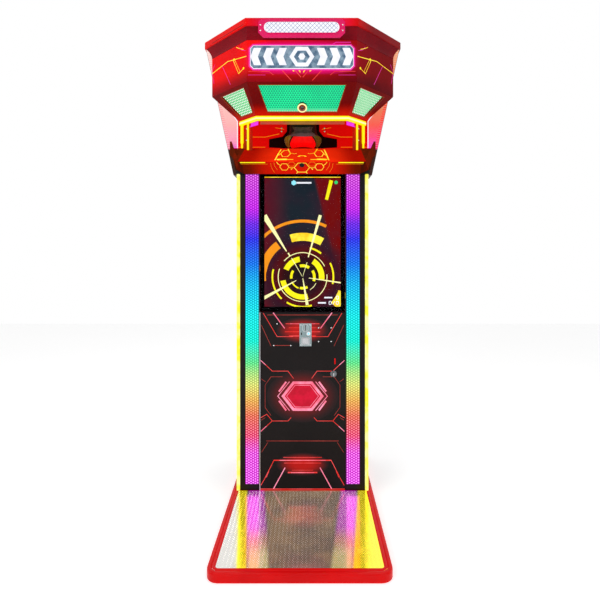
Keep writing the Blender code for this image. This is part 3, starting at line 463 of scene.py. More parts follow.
def useGroup(tree, group, values):
    node = tree.nodes.new("ShaderNodeGroup")
    node.node_tree = group
    for label, value in values.items():
        socket = node.inputs[label]
        if isinstance(value, bpy.types.NodeSocket):
            tree.links.new(value, socket)
        else:
            socket.default_value = (*value, 1.0) if isinstance(value, tuple) else value
    return node


def panelMaterial(name, color, shade, drift=0.35, grainScale=900.0, grain=0.12, roughness=0.25, smear=0.12,
                  bump=0.00003, **sockets):
    made, tree, shader = newMaterial(name, color, **sockets)
    surface = useGroup(tree, surfaceGroup, {"Color": color, "Shade": shade, "Drift": drift, "Smear": smear,
                                            "Grain Scale": grainScale, "Grain": grain, "Roughness": roughness})
    tree.links.new(surface.outputs["Color"], shader.inputs["Base Color"])
    tree.links.new(surface.outputs["Roughness"], shader.inputs["Roughness"])
    addBump(tree, shader, surface.outputs["Height"], bump)
    return made


def lightMaterial(name, color, strength=1.0, core=None, flicker=0.12):
    # a lit diffuser: slightly uneven along its length
    made, tree, shader = newMaterial(name, tuple(channel * 0.2 for channel in color), Roughness=0.4,
                                     Emission_Strength=strength, Specular_IOR_Level=0.2)
    place = objectPlace(tree)
    uneven = rangeNode(tree, noiseNode(tree, place, 24.0, 2.0), 0.3, 0.7)
    dimmer = tuple(channel * (1 - flicker) for channel in color)
    glow = mixNode(tree, uneven, dimmer, core or color)
    tree.links.new(glow, shader.inputs["Emission Color"])
    return made


def metalMaterial(name, color, roughness=0.3, brushed=(1.0, 1.0, 60.0), scratch=0.00002, **sockets):
    # fine lines drawn out along one axis, with duller patches
    made, tree, shader = newMaterial(name, color, Metallic=1.0, **sockets)
    mapping = tree.nodes.new("ShaderNodeMapping")
    mapping.inputs["Scale"].default_value = brushed
    tree.links.new(objectPlace(tree), mapping.inputs["Vector"])
    lines = noiseNode(tree, mapping.outputs[0], 30.0, 5.0, 0.65)
    patches = noiseNode(tree, objectPlace(tree), 14.0, 3.0)
    spread = mathNode(tree, "ADD", mathNode(tree, "MULTIPLY", lines, 0.10), mathNode(tree, "MULTIPLY", patches, 0.16))
    tree.links.new(mathNode(tree, "ADD", spread, roughness - 0.12, clamp=True), shader.inputs["Roughness"])
    tree.links.new(mixNode(tree, patches, tuple(c * 0.82 for c in color), tuple(min(1, c * 1.1) for c in color)),
                   shader.inputs["Base Color"])
    addBump(tree, shader, lines, scratch)
    return made


# finishes

# the red lacquer carries a painted glow: its emission brightens the red as if lit
redLacquer = panelMaterial("redLacquer", (0.66, 0.004, 0.005), (0.40, 0.002, 0.003), drift=0.5, roughness=0.18,
                           Specular_IOR_Level=0.10, Emission_Color=(0.85, 0.004, 0.004), Emission_Strength=0.25)
maroonLacquer = panelMaterial("maroonLacquer", (0.12, 0.003, 0.003), (0.06, 0.002, 0.003), roughness=0.24,
                              Specular_IOR_Level=0.06)
blackLaminate = panelMaterial("blackLaminate", (0.008, 0.006, 0.006), (0.016, 0.010, 0.010), grainScale=1500.0,
                              grain=0.5, roughness=0.38, smear=0.22, bump=0.00006, Specular_IOR_Level=0.14)
blackPlastic = panelMaterial("blackPlastic", (0.010, 0.010, 0.011), (0.020, 0.020, 0.022), grainScale=2200.0,
                             grain=0.4, roughness=0.42, bump=0.00008, Specular_IOR_Level=0.25)
blackRubber = panelMaterial("blackRubber", (0.020, 0.020, 0.020), (0.040, 0.038, 0.036), grainScale=1200.0,
                            grain=0.5, roughness=0.75, bump=0.00010)
circuitGreen = panelMaterial("circuitGreen", (0.010, 0.13, 0.045), (0.006, 0.08, 0.03), grainScale=700.0,
                             grain=0.3, roughness=0.38)
# the inner red also carries a painted glow, as if lit
innerRed = panelMaterial("innerRed", (0.62, 0.004, 0.004), (0.45, 0.008, 0.003), drift=0.6, roughness=0.22,
                         Specular_IOR_Level=0.02,
                         Emission_Color=(0.9, 0.001, 0.001), Emission_Strength=0.45)
zincPlate = metalMaterial("zincPlate", (0.60, 0.61, 0.63), roughness=0.38, brushed=(3.0, 3.0, 3.0))
machinedSteel = metalMaterial("machinedSteel", (0.58, 0.58, 0.60), roughness=0.28, brushed=(60.0, 2.0, 2.0))
coinSteel = metalMaterial("coinSteel", (0.26, 0.34, 0.35), roughness=0.30, brushed=(1.0, 1.0, 30.0))
lockSteel = metalMaterial("lockSteel", (0.16, 0.17, 0.18), roughness=0.30, brushed=(1.0, 1.0, 30.0))
brightSteel = metalMaterial("brightSteel", (0.74, 0.75, 0.77), roughness=0.16, brushed=(1.0, 1.0, 40.0))
treadSteel = metalMaterial("treadSteel", (0.50, 0.45, 0.40), roughness=0.17, brushed=(50.0, 1.0, 1.0))
edgeYellow = lightMaterial("edgeYellow", (0.97, 0.93, 0.03), 1.0, core=(0.97, 0.97, 0.42))
yellowLight = lightMaterial("yellowLight", (1.0, 0.86, 0.0), 1.0)
amberGlow = lightMaterial("amberGlow", (1.0, 0.58, 0.005), 1.1, core=(1.0, 0.86, 0.06))
creamLight = lightMaterial("creamLight", (1.0, 0.93, 0.42), 1.05)
whiteLight = lightMaterial("whiteLight", (0.92, 0.93, 1.0), 0.95)
redGlow = lightMaterial("redGlow", (0.95, 0.03, 0.02), 0.9, core=(1.0, 0.10, 0.10))
pinkGlow = lightMaterial("pinkGlow", (1.0, 0.16, 0.26), 1.0, core=(1.0, 0.36, 0.52))
magentaGlow = lightMaterial("magentaGlow", (0.95, 0.03, 0.42), 0.9)
violetGlow = lightMaterial("violetGlow", (0.80, 0.02, 0.85), 1.0)
orangeGlow = lightMaterial("orangeGlow", (1.0, 0.30, 0.0), 0.9)
dimRedLine = lightMaterial("dimRedLine", (0.42, 0.030, 0.025), 0.7, core=(0.60, 0.07, 0.05))
greenGlow = lightMaterial("greenGlow", (0.03, 0.80, 0.20), 0.9)
cyanGlow = lightMaterial("cyanGlow", (0.30, 0.85, 1.0), 1.0)
print("finishes ready")


# base platform, its moulding and the tread plate

tread = dict(pitch=0.0080, length=0.0052, width=0.0024, rise=0.0006, lean=38.0)
rim = dict(inset=0.0102, width=0.0185, height=0.0045)
border = dict(inset=0.0245, width=0.0140, height=0.0058)


def makeTreadMaterial():
    # polished steel with painted reflections and light spill in its glow and tint: a warm grey glow in the middle, a
    # painted yellow reflection on the right, pale on the left, the strip colours painted in by the light strips
    made, tree, shader = newMaterial("treadPlateSteel", (0.80, 0.78, 0.74), Metallic=1.0, Emission_Strength=0.36)
    place = objectPlace(tree)
    axes = splitAxes(tree, place)
    along = axes[1]
    # the bands draw together towards the front of the plate
    taper = mathNode(tree, "MULTIPLY", mathNode(tree, "SUBTRACT", 0.05, along), 0.122)
    side = mathNode(tree, "ADD", mathNode(tree, "ABSOLUTE", axes[0]), taper)
    blotch = rangeNode(tree, noiseNode(tree, place, 7.0, 4.0), 0.35, 0.65)
    middle = rangeNode(tree, side, 0.165, 0.200, 1.0, 0.0)
    # a painted warm glow in the middle stands in for reflected light
    warm = mixNode(tree, blotch, (0.46, 0.27, 0.13), (0.24, 0.15, 0.10))
    glow = mixNode(tree, middle, (0.0, 0.0, 0.0), warm)
    band = mathNode(tree, "MULTIPLY", rangeNode(tree, side, 0.172, 0.192), rangeNode(tree, side, 0.245, 0.262, 1.0,
                                                                                     0.0))
    # painted reflections of the colour strips: magenta by the column, through orange to cream towards the front
    ends = mixNode(tree, rangeNode(tree, along, -0.46, -0.34), (0.95, 0.90, 0.25), (0.80, 0.28, 0.12))
    ends = mixNode(tree, rangeNode(tree, along, -0.36, -0.24), ends, (0.80, 0.01, 0.80))
    glow = mixNode(tree, mathNode(tree, "MULTIPLY", band, 0.9), glow, ends)
    # a painted yellow reflection of the edge light on the right
    yellowReflection = rangeNode(tree, mathNode(tree, "ADD", axes[0], taper), 0.255, 0.268)
    glow = mixNode(tree, yellowReflection, glow, (0.50, 0.36, 0.0))
    # a painted yellow streak on each side: the edge lights' reflection
    ledReflection = mathNode(tree, "MULTIPLY", rangeNode(tree, side, 0.255, 0.268), rangeNode(tree, side, 0.290, 0.302,
                                                                                       1.0, 0.0))
    glow = mixNode(tree, ledReflection, glow, (1.0, 0.84, 0.0))
    tree.links.new(glow, shader.inputs["Emission Color"])
    # the base colour tints the real reflections with the same painted bands and yellow
    base = mixNode(tree, middle, (0.80, 0.78, 0.74), (0.46, 0.42, 0.38))
    base = mixNode(tree, mathNode(tree, "MULTIPLY", band, 0.5), base, (0.85, 0.60, 0.75))
    base = mixNode(tree, mathNode(tree, "MAXIMUM", yellowReflection, ledReflection), base, (0.98, 0.84, 0.10))
    tree.links.new(base, shader.inputs["Base Color"])
    smear = rangeNode(tree, noiseNode(tree, place, 15.0, 5.0, 0.65), 0.35, 0.75, 0.10, 0.22)
    tree.links.new(smear, shader.inputs["Roughness"])
    addBump(tree, shader, noiseNode(tree, place, 900.0, 2.0), 0.00003)
    return made


def buildBase():
    softened("base_platform", redLacquer, 0.004, 4)
    treadPaint = makeTreadMaterial()
    softened("tread_plate", treadPaint, 0.0008)
    low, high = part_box("base_platform")
    radius = 0.045 - rim["inset"]
    turn = np.linspace(0, np.pi / 2, 9)
    x, y = high.x - rim["inset"] - radius, low.y + rim["inset"] + radius
    corner = np.stack([x + radius * np.cos(turn), y - radius * np.sin(turn)], 1)
    side = np.array([[high.x - rim["inset"], high.y - 0.006]])
    right = np.concatenate([side, corner])
    line = np.concatenate([right, (right * [-1, 1])[::-1]])
    top = onPlane((0, 0, high.z), (1, 0, 0), (0, 1, 0))
    shape = strip(line, rim["width"], rim["height"], top)
    addPiece("rimMoulding", shape, redLacquer, slot="red_gloss", smooth=40)
    # a second bead laps the tread plate's edge, in front of the column only
    radius = 0.045 - border["inset"]
    x, y = high.x - border["inset"] - radius, low.y + border["inset"] + radius
    corner = np.stack([x + radius * np.cos(turn), y - radius * np.sin(turn)], 1)
    right = np.concatenate([np.array([[high.x - border["inset"], 0.050]]), corner])
    shape = strip(np.concatenate([right, (right * [-1, 1])[::-1]]), border["width"], border["height"], top)
    addPiece("rimBorder", shape, redLacquer, slot="red_gloss", smooth=40)

    # lozenges lean left and right by turns, in staggered rows, each a low four-sided frustum
    plateLow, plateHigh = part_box("tread_plate")
    pitch = tread["pitch"]
    margin = 0.010
    across = np.arange(plateLow.x + margin, plateHigh.x - margin, pitch)
    along = np.arange(plateLow.y + margin, plateHigh.y - margin, pitch * 0.866)
    i, j = np.meshgrid(np.arange(len(across)), np.arange(len(along)), indexing="ij")
    centres = np.stack([across[i] + (j % 2) * pitch / 2, along[j]], -1).reshape(-1, 2)
    lean = np.radians(np.where((i + j) % 2 == 0, 1.0, -1.0).reshape(-1) * tread["lean"])
    ring = np.array([(0.5, 0), (0, 0.5), (-0.5, 0), (0, -0.5)]) * (tread["length"], tread["width"])
    turned = np.stack([np.cos(lean)[:, None] * ring[:, 0] - np.sin(lean)[:, None] * ring[:, 1],
                       np.sin(lean)[:, None] * ring[:, 0] + np.cos(lean)[:, None] * ring[:, 1]], -1)
    levels = [(1.0, -0.0001), (0.6, tread["rise"])]
    points = np.stack([np.concatenate([centres[:, None] + turned * scale, np.full((len(lean), 4, 1),
                                                                                  plateHigh.z + up)],
                                      -1) for scale, up in levels], 1).reshape(-1, 3)
    cell = np.array([(k, (k + 1) % 4, 4 + (k + 1) % 4, 4 + k) for k in range(4)] + [(4, 5, 6, 7), (3, 2, 1, 0)])
    faces = (np.arange(len(lean))[:, None, None] * 8 + cell).reshape(-1, 4).tolist()
    addPiece("treadPattern", (points, faces), treadPaint, slot="tread_steel", solid=False)


buildBase()
print("base ready")


# column: boards, edge lights and the colour-changing light panels

stripStops = [(0.00, (0.92, 0.02, 0.95)), (0.10, (0.94, 0.02, 0.86)), (0.155, (0.98, 0.012, 0.16)),
              (0.22, (0.94, 0.14, 0.06)), (0.27, (0.96, 0.48, 0.08)), (0.32, (0.82, 0.86, 0.20)),
              (0.39, (0.14, 0.90, 0.30)), (0.46, (0.0, 0.98, 0.74)), (0.54, (0.0, 0.92, 0.92)),
              (0.64, (0.0, 0.56, 1.0)), (0.71, (0.0, 0.20, 1.0)), (0.79, (0.025, 0.03, 0.95)),
              (0.84, (0.18, 0.02, 0.92)), (0.89, (0.64, 0.012, 0.95)), (1.00, (0.70, 0.03, 0.76))]


def makeStripMaterial():
    low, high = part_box("rgb_panel_left")
    made, tree, shader = newMaterial("colourStrip", Roughness=0.45, Emission_Strength=1.35, Specular_IOR_Level=0.0)
    axes = splitAxes(tree, objectPlace(tree))
    share = mathNode(tree, "DIVIDE", mathNode(tree, "SUBTRACT", axes[2], low.z), high.z - low.z)
    color = rampNode(tree, share, stripStops)
    hole = useGroup(tree, holesGroup, {"Across": axes[2], "Up": axes[0], "Pitch": 0.0120,
                                       "Radius": 0.27}).outputs[0]
    pale = rangeNode(tree, mathNode(tree, "ABSOLUTE", mathNode(tree, "SUBTRACT", share, 0.60)), 0.25, 0.50, 0.02,
                     0.24)
    light = mixNode(tree, pale, color, (1.0, 1.0, 1.0))
    shown = mixNode(tree, hole, mixNode(tree, 0.52, color, (0.0, 0.0, 0.0)), light)
    tree.links.new(shown, shader.inputs["Emission Color"])
    tree.links.new(mixNode(tree, hole, (0.004, 0.004, 0.004), (0.02, 0.02, 0.02)), shader.inputs["Base Color"])
    addBump(tree, shader, mathNode(tree, "SUBTRACT", 1.0, hole), 0.0004, 0.5)
    return made


colourStrip = makeStripMaterial()


def buildColumn():
    for side, sign in (("left", -1), ("right", 1)):
        softened(f"column_side_{side}", blackLaminate)
        softened(f"column_stile_{side}", blackLaminate)
        softened(f"led_edge_{side}", edgeYellow, 0.0045, 3)
        softened(f"rgb_panel_{side}", colourStrip, 0.0008)
        # a thin black trim frames each light panel
        low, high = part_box(f"rgb_panel_{side}")
        front = frontPlane((0, low.y, 0))
        inner, outer = low.x, high.x
        frameLine = [(inner, low.z), (outer, low.z), (outer, high.z - 0.001), (inner, high.z - 0.001)]
        shape = strip(insetRing(np.array(frameLine), 0.0012), 0.0024, 0.0012, front, closed=True)
        addPiece(f"stripTrim{side.title()}", shape, blackPlastic, slot="black_plastic")
        # the side board's printed lines: angled bars in dull red
        boardLow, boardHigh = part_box(f"column_side_{side}")
        face = onPlane((sign * max(abs(boardLow.x), abs(boardHigh.x)), 0, 0), (0, sign, 0), (0, 0, 1))
        yFront, yRear = sign * (boardLow.y + 0.03), sign * (boardHigh.y - 0.03)
        shapes = []
        for base, rise in ((0.16, 0.30), (0.62, 0.34), (1.10, 0.30)):
            middle = (yFront + yRear) / 2
            shapes.append(strip([(yFront, base), (yFront + (middle - yFront) * 0.5, base),
                                 (middle, base + rise * 0.5), (middle, base + rise * 0.8),
                                 (middle + (yRear - middle) * 0.5, base + rise)], 0.005, 0.0003, face, round=False))
            shapes.append(strip([(yFront, base + 0.06), (yFront + (middle - yFront) * 0.35, base + 0.06),
                                 (middle - (middle - yFront) * 0.2, base + rise * 0.62)], 0.0022, 0.0003, face,
                                round=False))
        addPiece(f"sidePrint{side.title()}", joined(shapes), dimRedLine, slot="black_board")


buildColumn()
print("column ready")


# screen: cover glass, black border, display and the target shown on it

screen = dict(halfWidth=0.1815, foot=0.024, head=0.019, targetUp=0.141, gap=0.0018)


def arc(radius, start, end, width, centre=(0, 0)):
    # part of a flat ring, from one angle to another in degrees, as a closed outline
    angles = np.radians(np.linspace(start, end, max(4, int(abs(end - start) / 5) + 2)))
    circle = np.stack([np.cos(angles), np.sin(angles)], 1)
    outline = np.concatenate([circle * (radius + width / 2), (circle * (radius - width / 2))[::-1]])
    return outline + np.array(centre)


def spoke(angle, start, end, widthStart, widthEnd, centre=(0, 0)):
    # a beam that grows wider outwards
    along = np.array([math.cos(math.radians(angle)), math.sin(math.radians(angle))])
    side = np.array([-along[1], along[0]])
    points = [along * start - side * widthStart / 2, along * end - side * widthEnd / 2,
              along * end + side * widthEnd / 2, along * start + side * widthStart / 2]
    return np.array(points) + np.array(centre)


def flatSet(name, outlines, material, place, low, high, body="machine", slot=None):
    shapes = [plate(outline, [(0, low), (0, high)], place) for outline in outlines]
    return addPiece(name, joined(shapes), material, body, slot)


def zeroShape(centre, width, height, stroke, place, lift):
    x, y = centre
    ring = roundedRing((x - width / 2, y - height / 2), (x + width / 2, y + height / 2), width * 0.4, 4)
    return strip(ring, stroke, lift, place, closed=True, round=False)


def makeScreenMaterial(centreZ):
    made, tree, shader = newMaterial("screenPicture", (0.002, 0.002, 0.002), Roughness=0.3, Emission_Strength=0.95,
                                     Specular_IOR_Level=0.0)
    axes = splitAxes(tree, objectPlace(tree))
    x, z = axes[0], mathNode(tree, "SUBTRACT", axes[2], centreZ)
    reach = reachNode(tree, x, z)
    slant = mathNode(tree, "ADD", mathNode(tree, "MULTIPLY", x, 1.2), mathNode(tree, "MULTIPLY", z, 0.28))
    side = rangeNode(tree, mathNode(tree, "ABSOLUTE", x), 0.05, 0.20)
    sky = mixNode(tree, side, (0.012, 0.020, 0.030), (0.145, 0.006, 0.016))
    wedge = rangeNode(tree, slant, 0.19, 0.215)
    sky = mixNode(tree, wedge, sky, (0.20, 0.004, 0.004))
    rings = rampNode(tree, mathNode(tree, "DIVIDE", reach, 0.30),
                     [(0.0, (0.010, 0.008, 0.010)), (0.16, (0.012, 0.008, 0.010)), (0.30, (0.040, 0.006, 0.008)),
                      (0.42, (0.110, 0.006, 0.008)), (0.55, (0.045, 0.008, 0.020)), (0.70, (0.012, 0.014, 0.022))])
    near = rangeNode(tree, reach, 0.15, 0.24, 1.0, 0.0)
    place = objectPlace(tree)
    haze = mathNode(tree, "MULTIPLY", rangeNode(tree, noiseNode(tree, place, 9.0, 3.0), 0.4, 0.7), 0.35)
    shown = mixNode(tree, haze, mixNode(tree, near, sky, rings), (0.05, 0.012, 0.03))
    tree.links.new(shown, shader.inputs["Emission Color"])
    return made


def buildScreen():
    low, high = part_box("screen_glass")
    panelLow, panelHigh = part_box("display_panel")
    screenLow, screenHigh = low.z + screen["foot"], high.z - screen["head"]
    front = high.y + screen["gap"]
    centre = (0, screenLow + screen["targetUp"])
    shape = boxShape((panelLow.x, front, panelLow.z), (panelHigh.x, panelHigh.y, panelHigh.z), 0.001)
    screenPanel = addPiece("screenPanel", shape, makeScreenMaterial(centre[1]), slot="display_panel",
                           replaced=["display_panel"])
    screenPanel.data.materials.append(blackPlastic)
    for face in screenPanel.data.polygons:
        face.material_index = 0 if face.normal.y < -0.5 else 1

    glass, tree, shader = newMaterial("screenGlass", (0.92, 0.95, 0.96), Roughness=0.02, Transmission_Weight=1.0,
                                      IOR=1.03)
    smears = noiseNode(tree, objectPlace(tree), 12.0, 5.0)
    tree.links.new(rangeNode(tree, smears, 0.45, 0.8, 0.0, 0.004), shader.inputs["Roughness"])
    softened("screen_glass", glass, 0.0006)

    face = frontPlane((0, front, 0))
    half = screen["halfWidth"]
    outer = np.array([(low.x + 0.0005, low.z + 0.0005), (high.x - 0.0005, low.z + 0.0005),
                      (high.x - 0.0005, high.z - 0.0008), (low.x + 0.0005, high.z - 0.0008)])
    inner = np.array([(-half, screenLow), (half, screenLow), (half, screenHigh), (-half, screenHigh)])
    screenBlack = panelMaterial("screenBlack", (0.003, 0.003, 0.0035), (0.005, 0.005, 0.006), grainScale=1500.0,
                                grain=0.1, roughness=0.5, bump=0.00002, Specular_IOR_Level=0.0)
    rings = [face(ring, np.full(4, lift)) for ring, lift in
             ((outer, 0.0006), (outer, 0.0014), (inner, 0.0014), (inner, 0.0006))]
    addPiece("screenBorder", (np.concatenate(rings), gridFaces(4, 4, closeRows=True, closeColumns=True)),
             screenBlack, slot="black_plastic")

    def targetSet(name, outlines, material, lift):
        # outlines drawn round the target's centre
        moved = [outline + np.array(centre) for outline in outlines]
        flatSet(name, moved, material, face, -0.0002, lift, slot="display_panel")
    cream = [spoke(122, 0.144, 0.345, 0.005, 0.026), spoke(121, 0.117, 0.134, 0.005, 0.007),
             spoke(74, 0.098, 0.307, 0.005, 0.015), spoke(-8.5, 0.030, 0.190, 0.003, 0.007),
             spoke(-80.5, 0.006, 0.135, 0.003, 0.014), spoke(208.5, 0.034, 0.215, 0.003, 0.016),
             spoke(120, 0.004, 0.104, 0.0016, 0.004), spoke(73, 0.004, 0.074, 0.0016, 0.003)]
    cream += [arc(0.1165, 26, 139, 0.0038), arc(0.1165, 160, 366, 0.0038), arc(0.0700, 300, 335, 0.003)]
    targetSet("screenBeams", cream, creamLight, 0.00040)
    yellow = [arc(0.091, -7, 57, 0.027), arc(0.086, 99, 156, 0.026), arc(0.095, 190, 285, 0.025),
              arc(0.054, 55, 104, 0.014), arc(0.056, -20, 33, 0.013), arc(0.054, 146, 188, 0.012),
              arc(0.056, 205, 250, 0.007), arc(0.053, 256, 296, 0.012),
              arc(0.144, 165, 226, 0.008), arc(0.147, -13, 27, 0.008), arc(0.142, 238, 288, 0.008),
              arc(0.143, 52, 76, 0.009), spoke(76, 0.380, 0.475, 0.015, 0.018) + np.array([0.022, 0])]
    targetSet("screenTarget", yellow, yellowLight, 0.00030)
    amber = [arc(0.192, 61, 107, 0.038), arc(0.205, -42, -20, 0.045)]
    targetSet("screenArcs", amber, amberGlow, 0.00020)
    orange = [arc(0.267, 65, 135, 0.014), arc(0.192, 127, 172, 0.038), arc(0.180, 172, 186, 0.010)]
    targetSet("screenOuterArc", orange, orangeGlow, 0.00016)
    dotAt = (half - 0.022, screenHigh - 0.020)
    flatSet("screenDot", [circleRing(dotAt, 0.0085, 20)], greenGlow, face, -0.0002, 0.0004, slot="display_panel")
    digits = [zeroShape((half - 0.016, screenLow + 0.043), 0.011, 0.015, 0.0032, face, 0.0005),
              zeroShape((half - 0.016, screenLow + 0.018), 0.011, 0.015, 0.0032, face, 0.0005),
              zeroShape((half - 0.050, screenLow + 0.018), 0.011, 0.015, 0.0032, face, 0.0005),
              strip([(half - 0.037, screenLow + 0.010), (half - 0.029, screenLow + 0.026)], 0.0028, 0.0005, face,
                    round=False)]
    for up, start, end in ((0.043, 0.078, 0.040), (0.018, 0.108, 0.070)):
        digits.append(strip([(half - start, screenLow + up), (half - end, screenLow + up)], 0.007, 0.0005, face,
                            round=False))
    digits.append(strip([(-0.030, screenHigh - 0.022), (0.042, screenHigh - 0.022)], 0.008, 0.0005, face,
                        round=False))
    addPiece("screenReadout", joined(digits), whiteLight, slot="display_panel")
    badge = circleRing((-0.042, screenHigh - 0.022), 0.0125, 6, math.pi / 6)
    flatSet("screenBadge", [badge], cyanGlow, face, -0.0002, 0.0005, slot="display_panel")
    lit = strip([(-half, screenHigh + 0.0045), (half, screenHigh + 0.0045)], 0.0035, 0.0004,
                frontPlane((0, front - 0.0014, 0)), round=False)
    addPiece("screenTopLight", lit, amberGlow, slot="yellow_light")


buildScreen()
print("screen ready")


# service door: printed lines, bolts, coin plate, lock

doorLift = 0.00035


def buildDoorArt():
    low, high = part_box("service_door")
    softened("service_door", blackLaminate, 0.0010)
    face = frontPlane((0, low.y, high.z))
    coinLow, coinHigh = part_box("coin_plate")

    def beads(name, lines, material, mirror=True, lift=doorLift):
        shapes = []
        for width, line in lines:
            for sign in ((1, -1) if mirror else (1,)):
                flat = [(sign * x / 1000, -down / 1000) for x, down in line]
                shapes.append(strip(flat, width / 1000, lift, face, round=False))
        return addPiece(name, joined(shapes), material, "front_door", "black_board")

    beads("doorLinesPink", [
        (4.5, [(140, 1), (85, 76)]), (4.5, [(83, 738), (138, 838)]), (3.5, [(199, 228), (176, 249)]),
        (3.5, [(199, 566), (172, 541)])], pinkGlow)
    beads("doorLinesRed", [
        (2.6, [(187, 3), (121, 115), (46, 115)]), (2.6, [(176, 249), (144, 279), (69, 279), (43, 314)]),
        (2.6, [(172, 541), (144, 516), (69, 516), (54, 499)]), (2.6, [(199, 501), (170, 484), (144, 516)]),
        (3.0, [(136, 703), (180, 790), (198, 822)]), (2.2, [(160, 755), (172, 784)])], redGlow)
    beads("doorLinesDim", [
        (2.4, [(168, 12), (0, 12)]), (2.4, [(172, 611), (0, 611)]), (2.0, [(196, 60), (150, 160)]),
        (2.0, [(165, 618), (195, 665)]), (2.0, [(178, 345), (178, 452), (150, 490)]),
        (2.0, [(178, 345), (150, 306), (95, 306)]), (1.8, [(196, 316), (176, 330)]), (1.8, [(196, 512), (178, 500)])],
        dimRedLine)
    beads("doorLineLeft", [(2.4, [(-137, 157), (-56, 157)])], dimRedLine, mirror=False)
    foot = (high.z - low.z) * 1000
    beads("doorFootLine", [(3.6, [(200, foot - 2.6), (0, foot - 2.6)])], redGlow)

    # glowing bars fade from the middle out: a lit core on a wider dark red field
    def makeGlowField(name, centreDown, halfHeight, halfWidth, color):
        made, tree, shader = newMaterial(name, (0.008, 0.004, 0.004), Roughness=0.4, Emission_Strength=0.95,
                                         Specular_IOR_Level=0.15)
        axes = splitAxes(tree, objectPlace(tree))
        x = mathNode(tree, "DIVIDE", axes[0], halfWidth)
        z = mathNode(tree, "DIVIDE", mathNode(tree, "SUBTRACT", axes[2], high.z - centreDown), halfHeight)
        reach = reachNode(tree, x, z)
        shown = mixNode(tree, rangeNode(tree, reach, 0.25, 1.0, 1.0, 0.0), (0.010, 0.004, 0.005), color)
        tree.links.new(shown, shader.inputs["Emission Color"])
        return made

    fields = (("Coin", 0.086, 0.062, 0.125, (0.55, 0.004, 0.002)), ("Hexagon", 0.398, 0.125, 0.170, (0.24, 0.003,
                                                                                                     0.004)),
              ("Foot", 0.722, 0.055, 0.125, (0.50, 0.004, 0.002)))
    def fieldSlice(start, end, down, halfWidth, halfHeight, lowest):
        # the part of the oval field between two places across, cut off level at its lowest line
        x = np.linspace(start, end, 18)
        rise = halfHeight * np.sqrt(np.clip(1 - (x / halfWidth) ** 2, 1e-4, 1))
        return np.concatenate([np.stack([x, np.maximum(-down - rise, lowest)], 1),
                               np.stack([x, rise - down], 1)[::-1]])

    for label, down, halfHeight, halfWidth, color in fields:
        material = makeGlowField("glowField" + label, down, halfHeight, halfWidth, color)
        outlines = [circleRing((0, 0), 1.0, 40) * (halfWidth, halfHeight) - (0, down)]
        if label == "Coin":
            # left clear behind the coin plate, where the return flap swings in
            left, right = coinLow.x + 0.004, coinHigh.x - 0.004
            top = coinHigh.z - 0.006 - high.z
            outlines = [fieldSlice(-halfWidth * 0.999, left, down, halfWidth, halfHeight, -1.0),
                        fieldSlice(left, right, down, halfWidth, halfHeight, top),
                        fieldSlice(right, halfWidth * 0.999, down, halfWidth, halfHeight, -1.0)]
        flatSet("doorGlow" + label, outlines, material, face, -0.0002, 0.00012, "front_door", "black_board")
    bars = []
    for down, half, width in ((54, 80, 3.4), (73, 66, 2.2), (92, 84, 3.0), (112, 64, 4.2), (689, 92, 2.2),
                              (703, 137, 5.0), (716, 88, 2.6), (761, 70, 6.0), (750, 50, 2.0)):
        bars.append((width, [(half, down), (-half, down)]))
    beads("doorBars", bars, redGlow, mirror=False, lift=doorLift + 0.0001)
    beads("doorBarCores", [(1.6, [(60, 54), (-60, 54)]), (1.8, [(110, 703), (-110, 703)]),
                           (2.0, [(55, 762), (-55, 762)])], pinkGlow, mirror=False, lift=doorLift + 0.0002)

    emblemRed = lightMaterial("emblemRed", (0.52, 0.0, 0.020), 1.0, core=(0.66, 0.001, 0.032))
    # the six-sided emblem: filled middle, bright outline, side chevrons and short bars
    middle = np.array([0, -0.398])
    hexagon = np.array([(-0.101, 0), (-0.047, -0.069), (0.047, -0.069), (0.101, 0), (0.047, 0.069), (-0.047, 0.069)])
    flatSet("emblemFill", [hexagon * 0.86 + middle], emblemRed, face, 0.0, 0.0003, "front_door", "black_board")
    outline = strip(hexagon * 0.92 + middle, 0.0125, 0.0006, face, closed=True)
    second = strip(hexagon * 0.75 + middle, 0.0030, 0.0005, face, closed=True)
    chevrons = [strip(np.array([(s * 0.062, 0.069), (s * 0.118, 0), (s * 0.062, -0.069)]) + middle, 0.0035, 0.0005,
                      face)
                for s in (-1, 1)]
    addPiece("emblemOutline", joined([outline, second] + chevrons), pinkGlow, "front_door", "black_board", smooth=40)
    bars = [strip(np.array([(s * 0.112, u * 0.022), (s * 0.078, u * 0.068)]) + middle, 0.0080, 0.0006, face)
            for s in (-1, 1) for u in (-1, 1)]
    addPiece("emblemBars", joined(bars), pinkGlow, "front_door", "black_board", smooth=40)

    bolts = [(-121, 54), (76, 73), (136, 73), (76, 138), (136, 138), (-137, 157), (-56, 157)]
    shapes = [boltHead((x / 1000, -down / 1000), 0.0034, 0.0022, face) for x, down in bolts]
    addPiece("doorBolts", joined(shapes), brightSteel, "front_door", "coin_metal", smooth=40)

